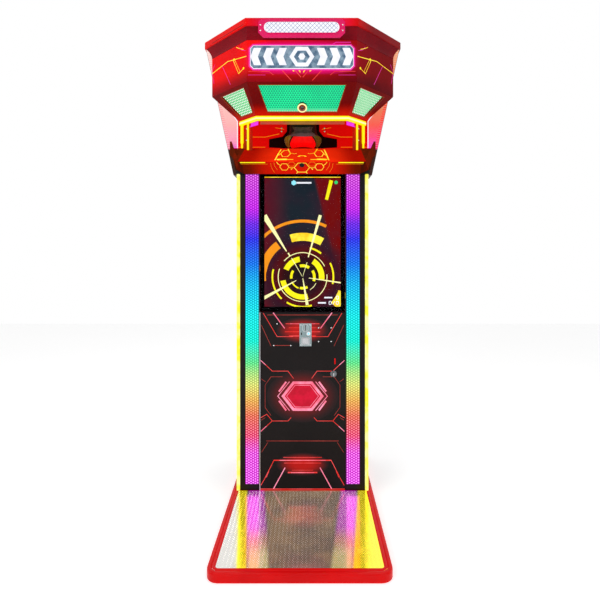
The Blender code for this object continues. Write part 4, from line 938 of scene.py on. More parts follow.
    # coin plate: funnel round the slot, raised frame round the return, lit button ring
    plateFace = frontPlane((0, coinLow.y, 0))
    softened("coin_plate", coinSteel, 0.0009)
    slotX, slotZ = (coinLow.x + coinHigh.x) / 2 - 0.0009, (coinLow.z + coinHigh.z) / 2 + 0.033
    funnelRing = roundedRing((slotX - 0.013, slotZ - 0.018), (slotX + 0.013, slotZ + 0.018), 0.0125, 6)
    funnel = strip(funnelRing, 0.0030, 0.0020, plateFace, closed=True)
    lips = [strip([(slotX + s * 0.0034, slotZ - 0.0135), (slotX + s * 0.0034, slotZ + 0.0135)], 0.0026, 0.0016,
                  plateFace) for s in (-1, 1)]
    mouthZ = (coinLow.z + coinHigh.z) / 2 - 0.029
    mouthRing = roundedRing((slotX + 0.0009 - 0.0185, mouthZ - 0.0175), (slotX + 0.0009 + 0.0185, mouthZ + 0.0175),
                            0.006, 4)
    mouth = strip(mouthRing, 0.0030, 0.0024, plateFace, closed=True)
    border = strip(roundedRing((coinLow.x + 0.003, coinLow.z + 0.003), (coinHigh.x - 0.003, coinHigh.z - 0.003),
                               0.005, 4), 0.0012, 0.0006, plateFace, closed=True)
    corners = [boltHead((x, z), 0.0026, 0.0013, plateFace) for x in (coinLow.x + 0.0075, coinHigh.x - 0.0075)
               for z in (coinLow.z + 0.0075, coinHigh.z - 0.0075)]
    addPiece("coinPlateFrames", joined([funnel, mouth, border] + lips + corners), brightSteel, "front_door",
             "coin_metal", smooth=40)
    backing = boxShape((slotX - 0.0035, coinHigh.y - 0.0012, slotZ - 0.0145), (slotX + 0.0035, coinHigh.y - 0.0006,
                                                                               slotZ + 0.0145))
    addPiece("coinSlotDark", backing, blackPlastic, "front_door", "black_plastic")
    small = plate(roundedRing((slotX - 0.021, slotZ - 0.034), (slotX - 0.016, slotZ - 0.022), 0.002, 4),
                  [(0, -0.0002), (0, 0.0004)], plateFace)
    addPiece("coinPlateMark", small, blackPlastic, "front_door", "black_plastic")
    buttonLow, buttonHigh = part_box("coin_return_button")
    centre = ((buttonLow.x + buttonHigh.x) / 2, (buttonLow.z + buttonHigh.z) / 2)
    buttonFace = frontPlane((centre[0], buttonLow.y, centre[1]))
    softened("coin_return_button", whiteLight, 0.0010, 3)
    cap = lathe([(0.0001, 0.0), (0.0050, 0.0), (0.0044, 0.0010), (0.0020, 0.0015), (0.0001, 0.0016)], buttonFace, 24)
    addPiece("coinButtonLens", cap, cyanGlow, "coin_button", "red_plastic", smooth=50)
    ring = frontPlane((centre[0], coinLow.y, centre[1]))
    collar = lathe([(0.0072, -0.0005), (0.0072, 0.0016), (0.0084, 0.0020), (0.0096, 0.0010), (0.0096, -0.0005)], ring,
                   28, closed=True)
    addPiece("coinButtonCollar", collar, brightSteel, "front_door", "coin_metal", smooth=40)
    softened("coin_return_flap", machinedSteel, 0.0003)
    softened("coin_mechanism", blackPlastic, 0.0008)

    # lock: bevelled escutcheon under the flange, a bow on the key and a red tag higher up
    lockLow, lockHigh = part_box("door_lock")
    softened("door_lock", lockSteel, 0.0003)
    centre = ((lockLow.x + lockHigh.x) / 2, lockHigh.z - 0.0125)
    lockFace = frontPlane((centre[0], low.y, centre[1]))
    ring = lathe([(0.0128, 0.0), (0.0160, 0.0), (0.0152, 0.0018), (0.0132, 0.0024), (0.0128, 0.0024)], lockFace, 36,
                 closed=True)
    addPiece("lockEscutcheon", ring, lockSteel, "front_door", "steel", smooth=40)
    bow = onPlane((centre[0] - 0.0012, lockLow.y + 0.006, centre[1]), (0, 1, 0), (0, 0, 1))
    shape = strip(circleRing((0.0, 0.002), 0.0085, 24), 0.0035, 0.0024, bow, closed=True)
    addPiece("keyBow", shape, brightSteel, "lock", "steel", smooth=40)
    tag = plate(roundedRing((0.004, 0.046), (0.010, 0.074), 0.002, 4), [(0.0003, 0), (0, 0.0003), (0, 0.0010),
                                                                       (0.0005, 0.0014)], lockFace)
    addPiece("redTag", tag, redLacquer, "front_door", "red_plastic", smooth=40)


buildDoorArt()
for node in ("door_hinge_fixed", "door_hinge_moving"):
    softened(node, machinedSteel, 0.0001, 1)
print("service door ready")


# head: roof cap, cornice, fascia and its printed lines

def facePlane(node, facet):
    # the plane of one of the head's three front faces: found from the corners at its foot and top
    points = cornersOf(node)
    if facet == "front":
        front = points[:, 1].min()
        return frontPlane((0, front, 0))
    sign = -1 if facet == "left" else 1
    outer = points[np.argmax(sign * points[:, 0])]
    front = points[points[:, 1] < points[:, 1].min() + 1e-5]
    corner = front[np.argmax(sign * front[:, 0])]
    start, end = (outer, corner) if sign < 0 else (corner, outer)
    return onPlane((corner[0], corner[1], 0), (end[0] - start[0], end[1] - start[1], 0), (0, 0, 1))


def makeFasciaMaterial():
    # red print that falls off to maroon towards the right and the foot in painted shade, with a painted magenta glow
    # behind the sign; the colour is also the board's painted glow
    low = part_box("fascia")[0]
    made, tree, shader = newMaterial("fasciaPrint", Roughness=0.2, Specular_IOR_Level=0.02,
                                     Emission_Strength=0.40)
    place = objectPlace(tree)
    axes = splitAxes(tree, place)
    up = rangeNode(tree, axes[2], low.z, low.z + 0.085)
    right = rangeNode(tree, axes[0], -0.08, 0.34)
    cloud = rangeNode(tree, noiseNode(tree, place, 7.0, 5.0), 0.35, 0.7)
    shade = mathNode(tree, "MULTIPLY", mathNode(tree, "SUBTRACT", 1.0, mathNode(tree, "MULTIPLY", right, 0.86)),
                     mathNode(tree, "ADD", 0.22, mathNode(tree, "MULTIPLY", up, 0.78)))
    color = mixNode(tree, shade, (0.060, 0.002, 0.004), (0.82, 0.006, 0.005))
    color = mixNode(tree, mathNode(tree, "MULTIPLY", cloud, 0.25), color, (0.30, 0.004, 0.016))
    signLow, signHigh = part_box("sign_plate")
    x = mathNode(tree, "DIVIDE", axes[0], signHigh.x + 0.034)
    z = mathNode(tree, "DIVIDE", mathNode(tree, "SUBTRACT", axes[2], (signLow.z + signHigh.z) / 2), 0.078)
    x4 = mathNode(tree, "POWER", mathNode(tree, "ABSOLUTE", x), 4.0)
    z4 = mathNode(tree, "POWER", mathNode(tree, "ABSOLUTE", z), 4.0)
    halo = rangeNode(tree, mathNode(tree, "ADD", x4, z4), 0.25, 1.0, 1.0, 0.0)
    color = mixNode(tree, mathNode(tree, "MULTIPLY", halo, 0.75), color, (0.70, 0.005, 0.17))
    paintBoth(tree, shader, color)
    addBump(tree, shader, noiseNode(tree, place, 900.0, 2.0), 0.00003)
    return made


def makeRoofMaterial():
    # the roof's red glows as painted light: magenta-tinged in the middle, falling to dark red on the right as painted
    # shade
    made, tree, shader = newMaterial("roofLacquer", Roughness=0.16, Specular_IOR_Level=0.05,
                                     Emission_Strength=0.30)
    place = objectPlace(tree)
    axes = splitAxes(tree, place)
    middle = rangeNode(tree, mathNode(tree, "ABSOLUTE", axes[0]), 0.12, 0.25)
    right = rangeNode(tree, axes[0], 0.18, 0.33)
    color = mixNode(tree, middle, (0.62, 0.006, 0.085), (0.80, 0.004, 0.004))
    color = mixNode(tree, right, color, (0.20, 0.003, 0.006))
    cloud = rangeNode(tree, noiseNode(tree, place, 8.0, 4.0), 0.4, 0.7)
    color = mixNode(tree, mathNode(tree, "MULTIPLY", cloud, 0.25), color, (0.36, 0.003, 0.004))
    paintBoth(tree, shader, color)
    addBump(tree, shader, noiseNode(tree, place, 800.0, 2.0), 0.00003)
    return made


def planPoints(frontX, frontY, rearX, rearY):
    return np.array([(-rearX, rearY), (-frontX, frontY), (frontX, frontY), (rearX, rearY)])


def planOf(node, level):
    # a three-faced board's outer plan at its foot or its top: front half width, front y, rear half width, rear y
    points = cornersOf(node)
    edge = points[:, 2].min() if level == "foot" else points[:, 2].max()
    ring = points[np.abs(points[:, 2] - edge) < 1e-5]
    front = ring[ring[:, 1] < ring[:, 1].min() + 1e-5]
    return front[:, 0].max(), ring[:, 1].min(), ring[:, 0].max(), ring[:, 1].max()


def foldedShell(levels):
    # plans stacked through heights and back down the inside; every level is (plan, z), the ring is closed
    rows = [np.column_stack([planPoints(*plan), np.full(4, z)]) for plan, z in levels]
    points = np.concatenate(rows)
    faces = gridFaces(len(rows), 4, closeRows=True)
    faces += [[row * 4 for row in range(len(rows))], [row * 4 + 3 for row in range(len(rows))][::-1]]
    return points, faces


cornice = dict(wall=0.006, steps=9)


def insetPlan(plan, depth):
    # the plan's three lines move inwards by the depth; its rear ends stay at their own depth
    frontX, frontY, rearX, rearY = plan
    along = np.array([rearX - frontX, rearY - frontY])
    along = along / np.linalg.norm(along)
    start = np.array([frontX, frontY]) + depth * np.array([-along[1], along[0]])
    cornerX = start[0] + along[0] * (frontY + depth - start[1]) / along[1]
    endX = start[0] + along[0] * (rearY - start[1]) / along[1]
    return cornerX, frontY + depth, endX, rearY


def buildHead():
    roofMaterial = makeRoofMaterial()
    softened("roof_cap", roofMaterial, 0.0040, 3)
    fasciaPrint = makeFasciaMaterial()
    softened("fascia", fasciaPrint, 0.0014)

    # the cornice sweeps up in a hollow curve: the plan moves out slowly at first, then quickly
    foot, top = planOf("cornice_cove", "foot"), planOf("cornice_cove", "top")
    low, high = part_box("cornice_cove")
    share = np.linspace(0, 1, cornice["steps"])
    out = 1 - np.cos(share * np.pi / 2) ** 0.9
    outer = [(tuple(np.array(foot) + (np.array(top) - np.array(foot)) * o), low.z + (high.z - low.z) * s)
             for o, s in zip(out, share)]
    inner = [(insetPlan(plan, cornice["wall"]), z) for plan, z in outer[::-1]]
    # the cove's dark red-purple is its lacquer deepened by painted shade in the hollow
    coveShadedPaint = panelMaterial("coveLacquerShaded", (0.30, 0.004, 0.012), (0.13, 0.002, 0.008), drift=0.6, roughness=0.2,
                              Specular_IOR_Level=0.06)
    addPiece("corniceCove", foldedShell(outer + inner), coveShadedPaint, slot=slotOf["cornice_cove"],
             replaced=["cornice_cove"], smooth=30)

    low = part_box("roof_cap")[0]
    for side in ("left", "right"):
        face = facePlane("fascia", side)
        z0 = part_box("fascia")[0].z

        def flip(line):
            # the left face carries the right face's print, mirrored
            return line if side == "right" else [(-x, z) for x, z in line][::-1]

        def beads(name, lines, material, lift):
            shapes = [strip(flip([(x / 1000, z0 + z / 1000) for x, z in line]), width / 1000, lift, face)
                      for width, line in lines]
            addPiece(name + side.title(), joined(shapes), material, slot="red_gloss", smooth=40)
        beads("fasciaAmberLine", [(3.2, [(3, 113), (150, 132), (286, 112)]), (2.8, [(104, 122), (62, 52), (24, 66)]),
                                  (1.8, [(62, 52), (52, 60), (92, 122)]), (2.4, [(25, 150), (60, 165), (80, 176)])],
              amberGlow, 0.0005)
        beads("fasciaVioletLine", [(2.2, [(196, 122), (128, 20)]), (2.0, [(10, 140), (40, 152), (60, 170)]),
                                   (1.8, [(262, 150), (285, 122), (270, 60)])], magentaGlow, 0.0004)
        dots = [boltHead((p[0], p[1]), 0.0052, 0.0016, face)
                for p in flip([(0.024, z0 + 0.066), (0.098, z0 + 0.126)])]
        addPiece("fasciaDots" + side.title(), joined(dots), yellowLight, slot="red_gloss", smooth=40)
        # framed recess printed on the cornice, drawn as a raised line on the roof's rim
        rimFace = facePlane("roof_cap", side)
        ends = flip([(0.012, low.z + 0.008), (0.270, low.z + 0.008)])
        line = strip(ends, 0.0022, 0.0005, rimFace)
        addPiece("roofLine" + side.title(), line, maroonLacquer, slot="red_gloss", smooth=40)

    front = facePlane("fascia", "front")
    fLow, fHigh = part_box("fascia")
    z0 = fLow.z
    lines = mirroredBeads([(0.0030, 0.0004, [(0.046, 0.006), (0.092, 0.056)]),
                           (0.0026, 0.0004, [(0.004, 0.020), (0.034, 0.056)]),
                           (0.0018, 0.0004, [(0.004, 0.036), (0.022, 0.057)]),
                           (0.0020, 0.0004, [(0.235, 0.046), (0.145, 0.046), (0.125, 0.030)])], front, z0)
    addPiece("fasciaChevronLines", joined(lines), redGlow, slot="red_gloss", smooth=40)
    marks = [plate([(s * 0.034, z0 + 0.044), (s * 0.052, z0 + 0.057), (s * 0.042, z0 + 0.057),
                    (s * 0.034, z0 + 0.052)], [(0, 0), (0, 0.0005)], front) for s in (-1, 1)]
    marks += [plate([(s * 0.006, z0 + 0.045), (s * 0.014, z0 + 0.056), (s * 0.019, z0 + 0.056),
                     (s * 0.007, z0 + 0.040)], [(0, 0), (0, 0.0005)], front) for s in (-1, 1)]
    addPiece("fasciaMarks", joined(marks), yellowLight, slot="red_gloss")
    lines = [strip([(-0.20, fHigh.z - 0.022), (0.13, fHigh.z - 0.022), (0.150, fHigh.z - 0.010),
                    (0.215, fHigh.z - 0.010)], 0.0030, 0.0004, front),
             strip([(-0.236, z0 + 0.030), (-0.160, z0 + 0.030)], 0.0016, 0.0004, front),
             strip([(0.236, z0 + 0.030), (0.160, z0 + 0.030)], 0.0016, 0.0004, front)]
    addPiece("fasciaMagentaLines", joined(lines), magentaGlow, slot="red_gloss", smooth=40)


buildHead()
print("head ready")


# lit sign: chevrons and a hexagon in place of words

sign = dict(rise=0.0046, chevrons=3, pitch=0.056, width=0.032, hexagon=0.040, stroke=0.0030)


def buildSign():
    low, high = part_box("sign_plate")
    backPaint, tree, shader = newMaterial("signBacking", (0.16, 0.22, 0.30), Roughness=0.3, Specular_IOR_Level=0.2,
                                          Emission_Strength=0.25)
    place = objectPlace(tree)
    cloud = rangeNode(tree, noiseNode(tree, place, 30.0, 3.0), 0.35, 0.65)
    color = mixNode(tree, cloud, (0.06, 0.12, 0.20), (0.25, 0.36, 0.45))
    paintBoth(tree, shader, color)
    softened("sign_plate", backPaint, 0.0012)
    face = frontPlane((0, low.y, (low.z + high.z) / 2))
    half = (high.z - low.z) / 2 - 0.011
    shapes = []
    reach = half * 0.72
    for s in (-1, 1):
        for k in range(sign["chevrons"]):
            x = s * (0.066 + k * sign["pitch"])
            w = sign["width"]
            ring = [(x, half), (x + s * w, half), (x + s * (w + reach * 0.55), 0),
                    (x + s * w, -half), (x, -half), (x + s * reach * 0.55, 0)]
            shapes.append(plate(ring, [(0.0, 0.0), (0.0, sign["rise"] * 0.7), (0.0016, sign["rise"])], face))
    hexagon = circleRing((0, 0), sign["hexagon"], 6) * (1.12, 1.0)
    shapes.append(strip(hexagon, 0.016, sign["rise"], face, closed=True))
    shapes.append(plate(circleRing((0, 0), 0.015, 6), [(0, 0), (0, sign["rise"] * 0.7), (0.0016, sign["rise"])],
                        face))
    addPiece("signShapes", joined(shapes), whiteLight, slot="white_light", smooth=30)
    notch = 0.012
    w, h = high.x, (high.z - low.z) / 2
    ring = np.array([(w - notch, -h), (w, notch - h), (w, h - notch), (w - notch, h), (notch - w, h), (-w, h - notch),
                     (-w, notch - h), (notch - w, -h)])
    halo = frontPlane((0, high.y - 0.0018, (low.z + high.z) / 2))
    addPiece("signOutline", strip(insetRing(ring, -0.0015), sign["stroke"], 0.0030, halo, closed=True), whiteLight,
             slot="white_light", smooth=40)
    addPiece("signHalo", strip(insetRing(ring, -0.0062), 0.0060, 0.0012, halo, closed=True), magentaGlow,
             slot="red_gloss", smooth=40)

    # grille: a magenta plate with a white lens behind crossed wires
    plateLow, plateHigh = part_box("top_light_grille")
    # the plate's emission is a painted magenta glow
    magentaPlate = panelMaterial("grillePlatePaint", (0.62, 0.005, 0.10), (0.40, 0.004, 0.05), roughness=0.22,
                                 Specular_IOR_Level=0.25, Emission_Color=(0.62, 0.004, 0.10),
                                 Emission_Strength=0.40)
    softened("top_light_grille", magentaPlate, 0.0006)
    lensLow, lensHigh = plateHigh.z - 0.0605, plateHigh.z - 0.011
    middle, halfHeight = (lensLow + lensHigh) / 2, (lensHigh - lensLow) / 2
    halfWidth = plateHigh.x - 0.023
    front = frontPlane((0, plateLow.y, middle))
    ring = roundedRing((-halfWidth, -halfHeight), (halfWidth, halfHeight), halfHeight * 0.98, 8)
    addPiece("grilleLens", plate(ring, [(0, -0.0030), (0, 0.0), (0.0018, 0.0006)], front), whiteLight,
             slot="white_light", smooth=40)
    pitch, shapes = 0.0185, []
    for lean in (-1, 1):
        for start in np.arange(-halfWidth - halfHeight, halfWidth + halfHeight, pitch):
            ends = np.array([(start, -halfHeight), (start + 2 * halfHeight, halfHeight)])
            inside = np.clip(ends[:, 0], -halfWidth + halfHeight * 0.35, halfWidth - halfHeight * 0.35)
            clipped = np.stack([inside, ends[:, 1] + (inside - ends[:, 0])], 1)
            if clipped[1, 0] - clipped[0, 0] > 0.004:
                shapes.append(strip(clipped * (lean, 1), 0.0012, 0.0010 + 0.0004 * (lean > 0), front, round=False))
    wire = panelMaterial("grilleWire", (0.16, 0.20, 0.42), (0.10, 0.12, 0.30), roughness=0.3)
    addPiece("grilleWires", joined(shapes), wire, slot="white_light")
    rimRing = strip(ring, 0.0040, 0.0012, front, closed=True)
    addPiece("grilleRim", rimRing, magentaPlate, slot="red_gloss", smooth=40)
    corners = [boltHead((s * (plateHigh.x - 0.010), u * 0.012), 0.0032, 0.0016,
                        frontPlane((0, plateHigh.y - 0.0055, middle)))
               for s in (-1, 1) for u in (-1, 1)]
    addPiece("grilleBolts", joined(corners), brightSteel, slot="white_light", smooth=40)


buildSign()
print("sign ready")


# visor: frame, perforated windows, round camera and the yellow light under it

def facetOf(node, facet):
    # one face of a three-faced board: its plane, and where its corners lie on it
    corners = {}
    low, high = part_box(node)
    for level, z in (("foot", low.z), ("top", high.z)):
        ring = np.column_stack([planPoints(*planOf(node, level)), np.full(4, z)])
        corners[level] = ring[{"left": 0, "front": 1, "right": 2}[facet]:][:2]
    foot, top = corners["foot"], corners["top"]
    right = (foot[1] - foot[0]) / np.linalg.norm(foot[1] - foot[0])
    up = top.mean(0) - foot.mean(0)
    up = up - right * up.dot(right)
    up = up / np.linalg.norm(up)
    flat = {level: np.stack([(points - foot[0]) @ right, (points - foot[0]) @ up], 1)
            for level, points in corners.items()}

    def at(across, down):
        upper = flat["top"][0] + (flat["top"][1] - flat["top"][0]) * across
        lower = flat["foot"][0] + (flat["foot"][1] - flat["foot"][0]) * across
        return upper + (lower - upper) * down
    return onPlane(foot[0], right, up), at


def makeMeshMaterial(name, color, dark, light, pitch, paleShare, strength=1.12):
    # sheet with round holes, laid out by the piece's own flat map in metres; the sheet's green is painted light on it,
    # and the holes show painted light, pale towards the foot
    made, tree, shader = newMaterial(name, Roughness=0.4, Emission_Strength=strength, Specular_IOR_Level=0.15)
    mapped = tree.nodes.new("ShaderNodeUVMap")
    mapped.uv_map = "flat"
    axes = splitAxes(tree, mapped.outputs[0])
    values = {"Across": axes[0], "Up": axes[1], "Pitch": pitch}
    ring = useGroup(tree, holesGroup, dict(values, Radius=0.40)).outputs[0]
    middle = useGroup(tree, holesGroup, dict(values, Radius=0.27)).outputs[0]
    place = objectPlace(tree)
    spread = rangeNode(tree, noiseNode(tree, place, 9.0, 2.0), 0.3, 0.7)
    sheet = mixNode(tree, spread, color, tuple(c * 0.8 for c in color))
    near = rangeNode(tree, axes[1], 0.045, 0.010)
    spot = mixNode(tree, mathNode(tree, "MAXIMUM", near, paleShare), dark, light)
    shown = mixNode(tree, middle, mixNode(tree, mathNode(tree, "MULTIPLY", ring, 0.6), sheet, dark), spot)
    tree.links.new(shown, shader.inputs["Emission Color"])
    tree.links.new(mixNode(tree, ring, (0.02, 0.10, 0.06), (0.01, 0.03, 0.02)), shader.inputs["Base Color"])
    addBump(tree, shader, mathNode(tree, "SUBTRACT", 1.0, ring), 0.0005, 0.6)
    return made


def addFlatMap(piece, flat):
    # the flat measures of every point become the piece's map
    mesh = piece.data
    layer = mesh.uv_layers.new(name="flat")
    corners = np.zeros(len(mesh.loops), np.int32)
    mesh.loops.foreach_get("vertex_index", corners)
    layer.data.foreach_set("uv", np.asarray(flat, np.float32)[corners].reshape(-1))


def mappedPlate(name, outlines, rows, places, material, body="machine", slot=None, replaced=()):
    shapes = [plate(outline, rows, place) for outline, place in zip(outlines, places)]
    flats = []
    for outline in outlines:
        x, y = np.asarray(outline, float).T
        turned = np.asarray(outline, float)
        if (x * np.roll(y, -1) - y * np.roll(x, -1)).sum() < 0:
            turned = turned[::-1]
        flats += [insetRing(turned, row[0]) for row in rows]
    piece = addPiece(name, joined(shapes), material, body, slot, replaced)
    addFlatMap(piece, np.concatenate(flats))
    return piece


copperTrim = panelMaterial("copperTrim", (0.40, 0.07, 0.006), (0.22, 0.03, 0.003), roughness=0.3,
                           Specular_IOR_Level=0.1)
visorValues = dict(front=((0.096, 0.09), (0.904, 0.09), (0.865, 0.89), (0.135, 0.89)),
                   side=((0.12, 0.12), (0.80, 0.12), (0.78, 0.88), (0.12, 0.88)), trim=0.0032)


def fadedPaint(name, axis, start, end, color, other, glow=0.2, axisAbs=False, roughness=0.24, cloudShare=0.25,
               last=None, gloss=0.06):
    # one colour runs into another between two places on an axis, with soft clouds over it; the colour also serves as
    # its own painted glow
    made, tree, shader = newMaterial(name, Roughness=roughness, Emission_Strength=glow, Specular_IOR_Level=gloss)
    place = objectPlace(tree)
    axes = splitAxes(tree, place)
    value = axes[axis]
    if axisAbs:
        value = mathNode(tree, "ABSOLUTE", value)
    mixed = mixNode(tree, rangeNode(tree, value, start, end), color, other)
    if last:
        mixed = mixNode(tree, rangeNode(tree, value, last[0] - 0.006, last[0]), mixed, last[1])
    cloud = mathNode(tree, "MULTIPLY", rangeNode(tree, noiseNode(tree, place, 11.0, 5.0), 0.4, 0.7), cloudShare)
    mixed = mixNode(tree, cloud, mixed, tuple(c * 0.45 for c in color))
    paintBoth(tree, shader, mixed)
    tree.links.new(rangeNode(tree, noiseNode(tree, place, 21.0, 5.0), 0.4, 0.8, roughness, roughness + 0.14),
                   shader.inputs["Roughness"])
    addBump(tree, shader, noiseNode(tree, place, 850.0, 2.0), 0.00003)
    return made


def buildVisor():
    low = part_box("visor")[0]
    # the visor's red glows as painted light, bright at its foot by the yellow light under it and falling to deep red
    # above
    paint = fadedPaint("visorPaint", 2, low.z, low.z + 0.05, (0.62, 0.010, 0.002), (0.15, 0.0006, 0.0006), 0.25)
    softened("visor", paint, 0.0012)
    trims, outlines, places = [], [], []
    for facet in ("left", "front", "right"):
        place, at = facetOf("visor", facet)
        window = visorValues["front" if facet == "front" else "side"]
        # across runs from the front corner outwards on a side face
        ring = [at(1 - a if facet == "left" else a, d) for a, d in window]
        ring = np.array(ring)
        if (ring[:, 0] * np.roll(ring[:, 1], -1) - ring[:, 1] * np.roll(ring[:, 0], -1)).sum() < 0:
            ring = ring[::-1]
        trims.append(strip(insetRing(ring, -0.0010), visorValues["trim"], 0.0012, place, closed=True))
        meshPlace, meshAt = facetOf("visor_mesh", facet)
        outlines.append(np.array([meshAt(0, 1), meshAt(1, 1), meshAt(1, 0), meshAt(0, 0)]))
        places.append(meshPlace)
    addPiece("visorTrims", joined(trims), copperTrim, slot="red_gloss", smooth=40)
    # front and side faces carry the same mesh in two painted lightings: a bright green front, dimmer sides with pale
    # lit holes
    green = makeMeshMaterial("greenMesh", (0.002, 1.0, 0.36), (0.0, 0.30, 0.16), (0.85, 1.0, 0.80), 0.0112, 0.0)
    pale = makeMeshMaterial("paleGreenMesh", (0.03, 0.66, 0.15), (0.004, 0.22, 0.05), (1.0, 1.0, 0.92), 0.0126, 1.0)
    rows = [(0.0, -0.0018), (0.0, 0.0)]
    piece = mappedPlate("visorMesh", outlines, rows, places, green, slot="green_mesh", replaced=["visor_mesh"])
    piece.data.materials.append(pale)
    faceOf = np.repeat([1, 0, 1], len(piece.data.polygons) // 3)
    piece.data.polygons.foreach_set("material_index", faceOf.astype(np.int32))

    # camera: lit ring, dark red-brown bowl and a glassy dome
    cLow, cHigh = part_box("camera")
    plane, at = facetOf("visor", "front")
    base = plane(np.array([[0.0, 0.0], [0.0, 1.0]]), np.zeros(2))
    up = base[1] - base[0]
    out = np.cross([1.0, 0.0, 0.0], up)
    middle = (np.array(cLow) + np.array(cHigh)) / 2 + out * 0.016
    face = onPlane(middle, (1, 0, 0), up)
    softened("camera", blackPlastic, 0.0006)
    ring = lathe([(0.0160, -0.001), (0.0160, 0.0010), (0.0180, 0.0030), (0.0205, 0.0030), (0.0222, 0.0008),
                  (0.0222, -0.001)], face, 40, closed=True)
    addPiece("cameraRing", ring, creamLight, slot="yellow_light", smooth=50)
    bowl = lathe([(0.0001, 0.0002), (0.0060, 0.0002), (0.0120, 0.0008), (0.0158, 0.0022), (0.0158, -0.001)], face, 36)
    bowlPaint = panelMaterial("cameraBowl", (0.33, 0.05, 0.008), (0.10, 0.012, 0.003), roughness=0.2, Coat_Weight=0.8)
    addPiece("cameraBowl", bowl, bowlPaint, slot="black_plastic", smooth=50)
    dome = lathe([(0.0085, 0.0), (0.0080, 0.0016), (0.0060, 0.0030), (0.0032, 0.0038), (0.0001, 0.0040)], face, 28)
    domePaint = panelMaterial("lensDark", (0.02, 0.004, 0.004), (0.06, 0.010, 0.004), roughness=0.05, smear=0.02,
                              Coat_Weight=1.0)
    addPiece("cameraLens", dome, domePaint, slot="black_plastic", smooth=60)

    softened("neon_frame", yellowLight, 0.0040, 3)
    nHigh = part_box("neon_frame")[1]
    plan = planOf("visor", "foot")
    bandTop = nHigh.z - 0.0060
    levels = [(insetPlan(plan, -d), bandTop - h) for d, h in
              ((-0.0020, 0.0), (0.0006, 0.0010), (0.0010, 0.0045), (0.0006, 0.0080), (-0.0020, 0.0090))]
    addPiece("neonCore", foldedShell(levels), creamLight, slot="yellow_light", smooth=50)
    # the ceiling's front lip, gilded in the middle by the light over it
    lipPaint, tree, shader = newMaterial("lipPaint", (0.10, 0.02, 0.004), Roughness=0.4, Emission_Strength=1.0)
    place = objectPlace(tree)
    axes = splitAxes(tree, place)
    far = rangeNode(tree, mathNode(tree, "ABSOLUTE", axes[0]), 0.05, 0.10)
    lip = mixNode(tree, far, (0.24, 0.11, 0.002), (0.42, 0.008, 0.002))
    mottle = rangeNode(tree, noiseNode(tree, place, 40.0, 3.0), 0.4, 0.7)
    tree.links.new(mixNode(tree, mathNode(tree, "MULTIPLY", mottle, 0.5), lip, (0.08, 0.03, 0.002)),
                   shader.inputs["Emission Color"])
    shape = boxShape((-0.196, 0.0100, nHigh.z - 0.0365), (0.196, 0.0130, nHigh.z - 0.0200), 0.001)
    addPiece("ceilingLip", shape, lipPaint, slot="red_board")
    # thicker lit sleeves round the outer legs
    points = cornersOf("neon_frame")
    legs = points[(points[:, 2] < nHigh.z - 0.030) & (points[:, 1] > 0.070)]
    sleeves = []
    for sign in (-1, 1):
        leg = legs[legs[:, 0] * sign > 0]
        centre = leg[:, :2].min(0) * 0.5 + leg[:, :2].max(0) * 0.5
        sleeves.append(tube([(*centre, leg[:, 2].min() + 0.0230), (*centre, nHigh.z - 0.0215)], 0.0072, 14))
    addPiece("legSleeves", joined(sleeves), yellowLight, slot="yellow_light", smooth=50)


buildVisor()
print("visor ready")


# posts and cheeks beside the punching space

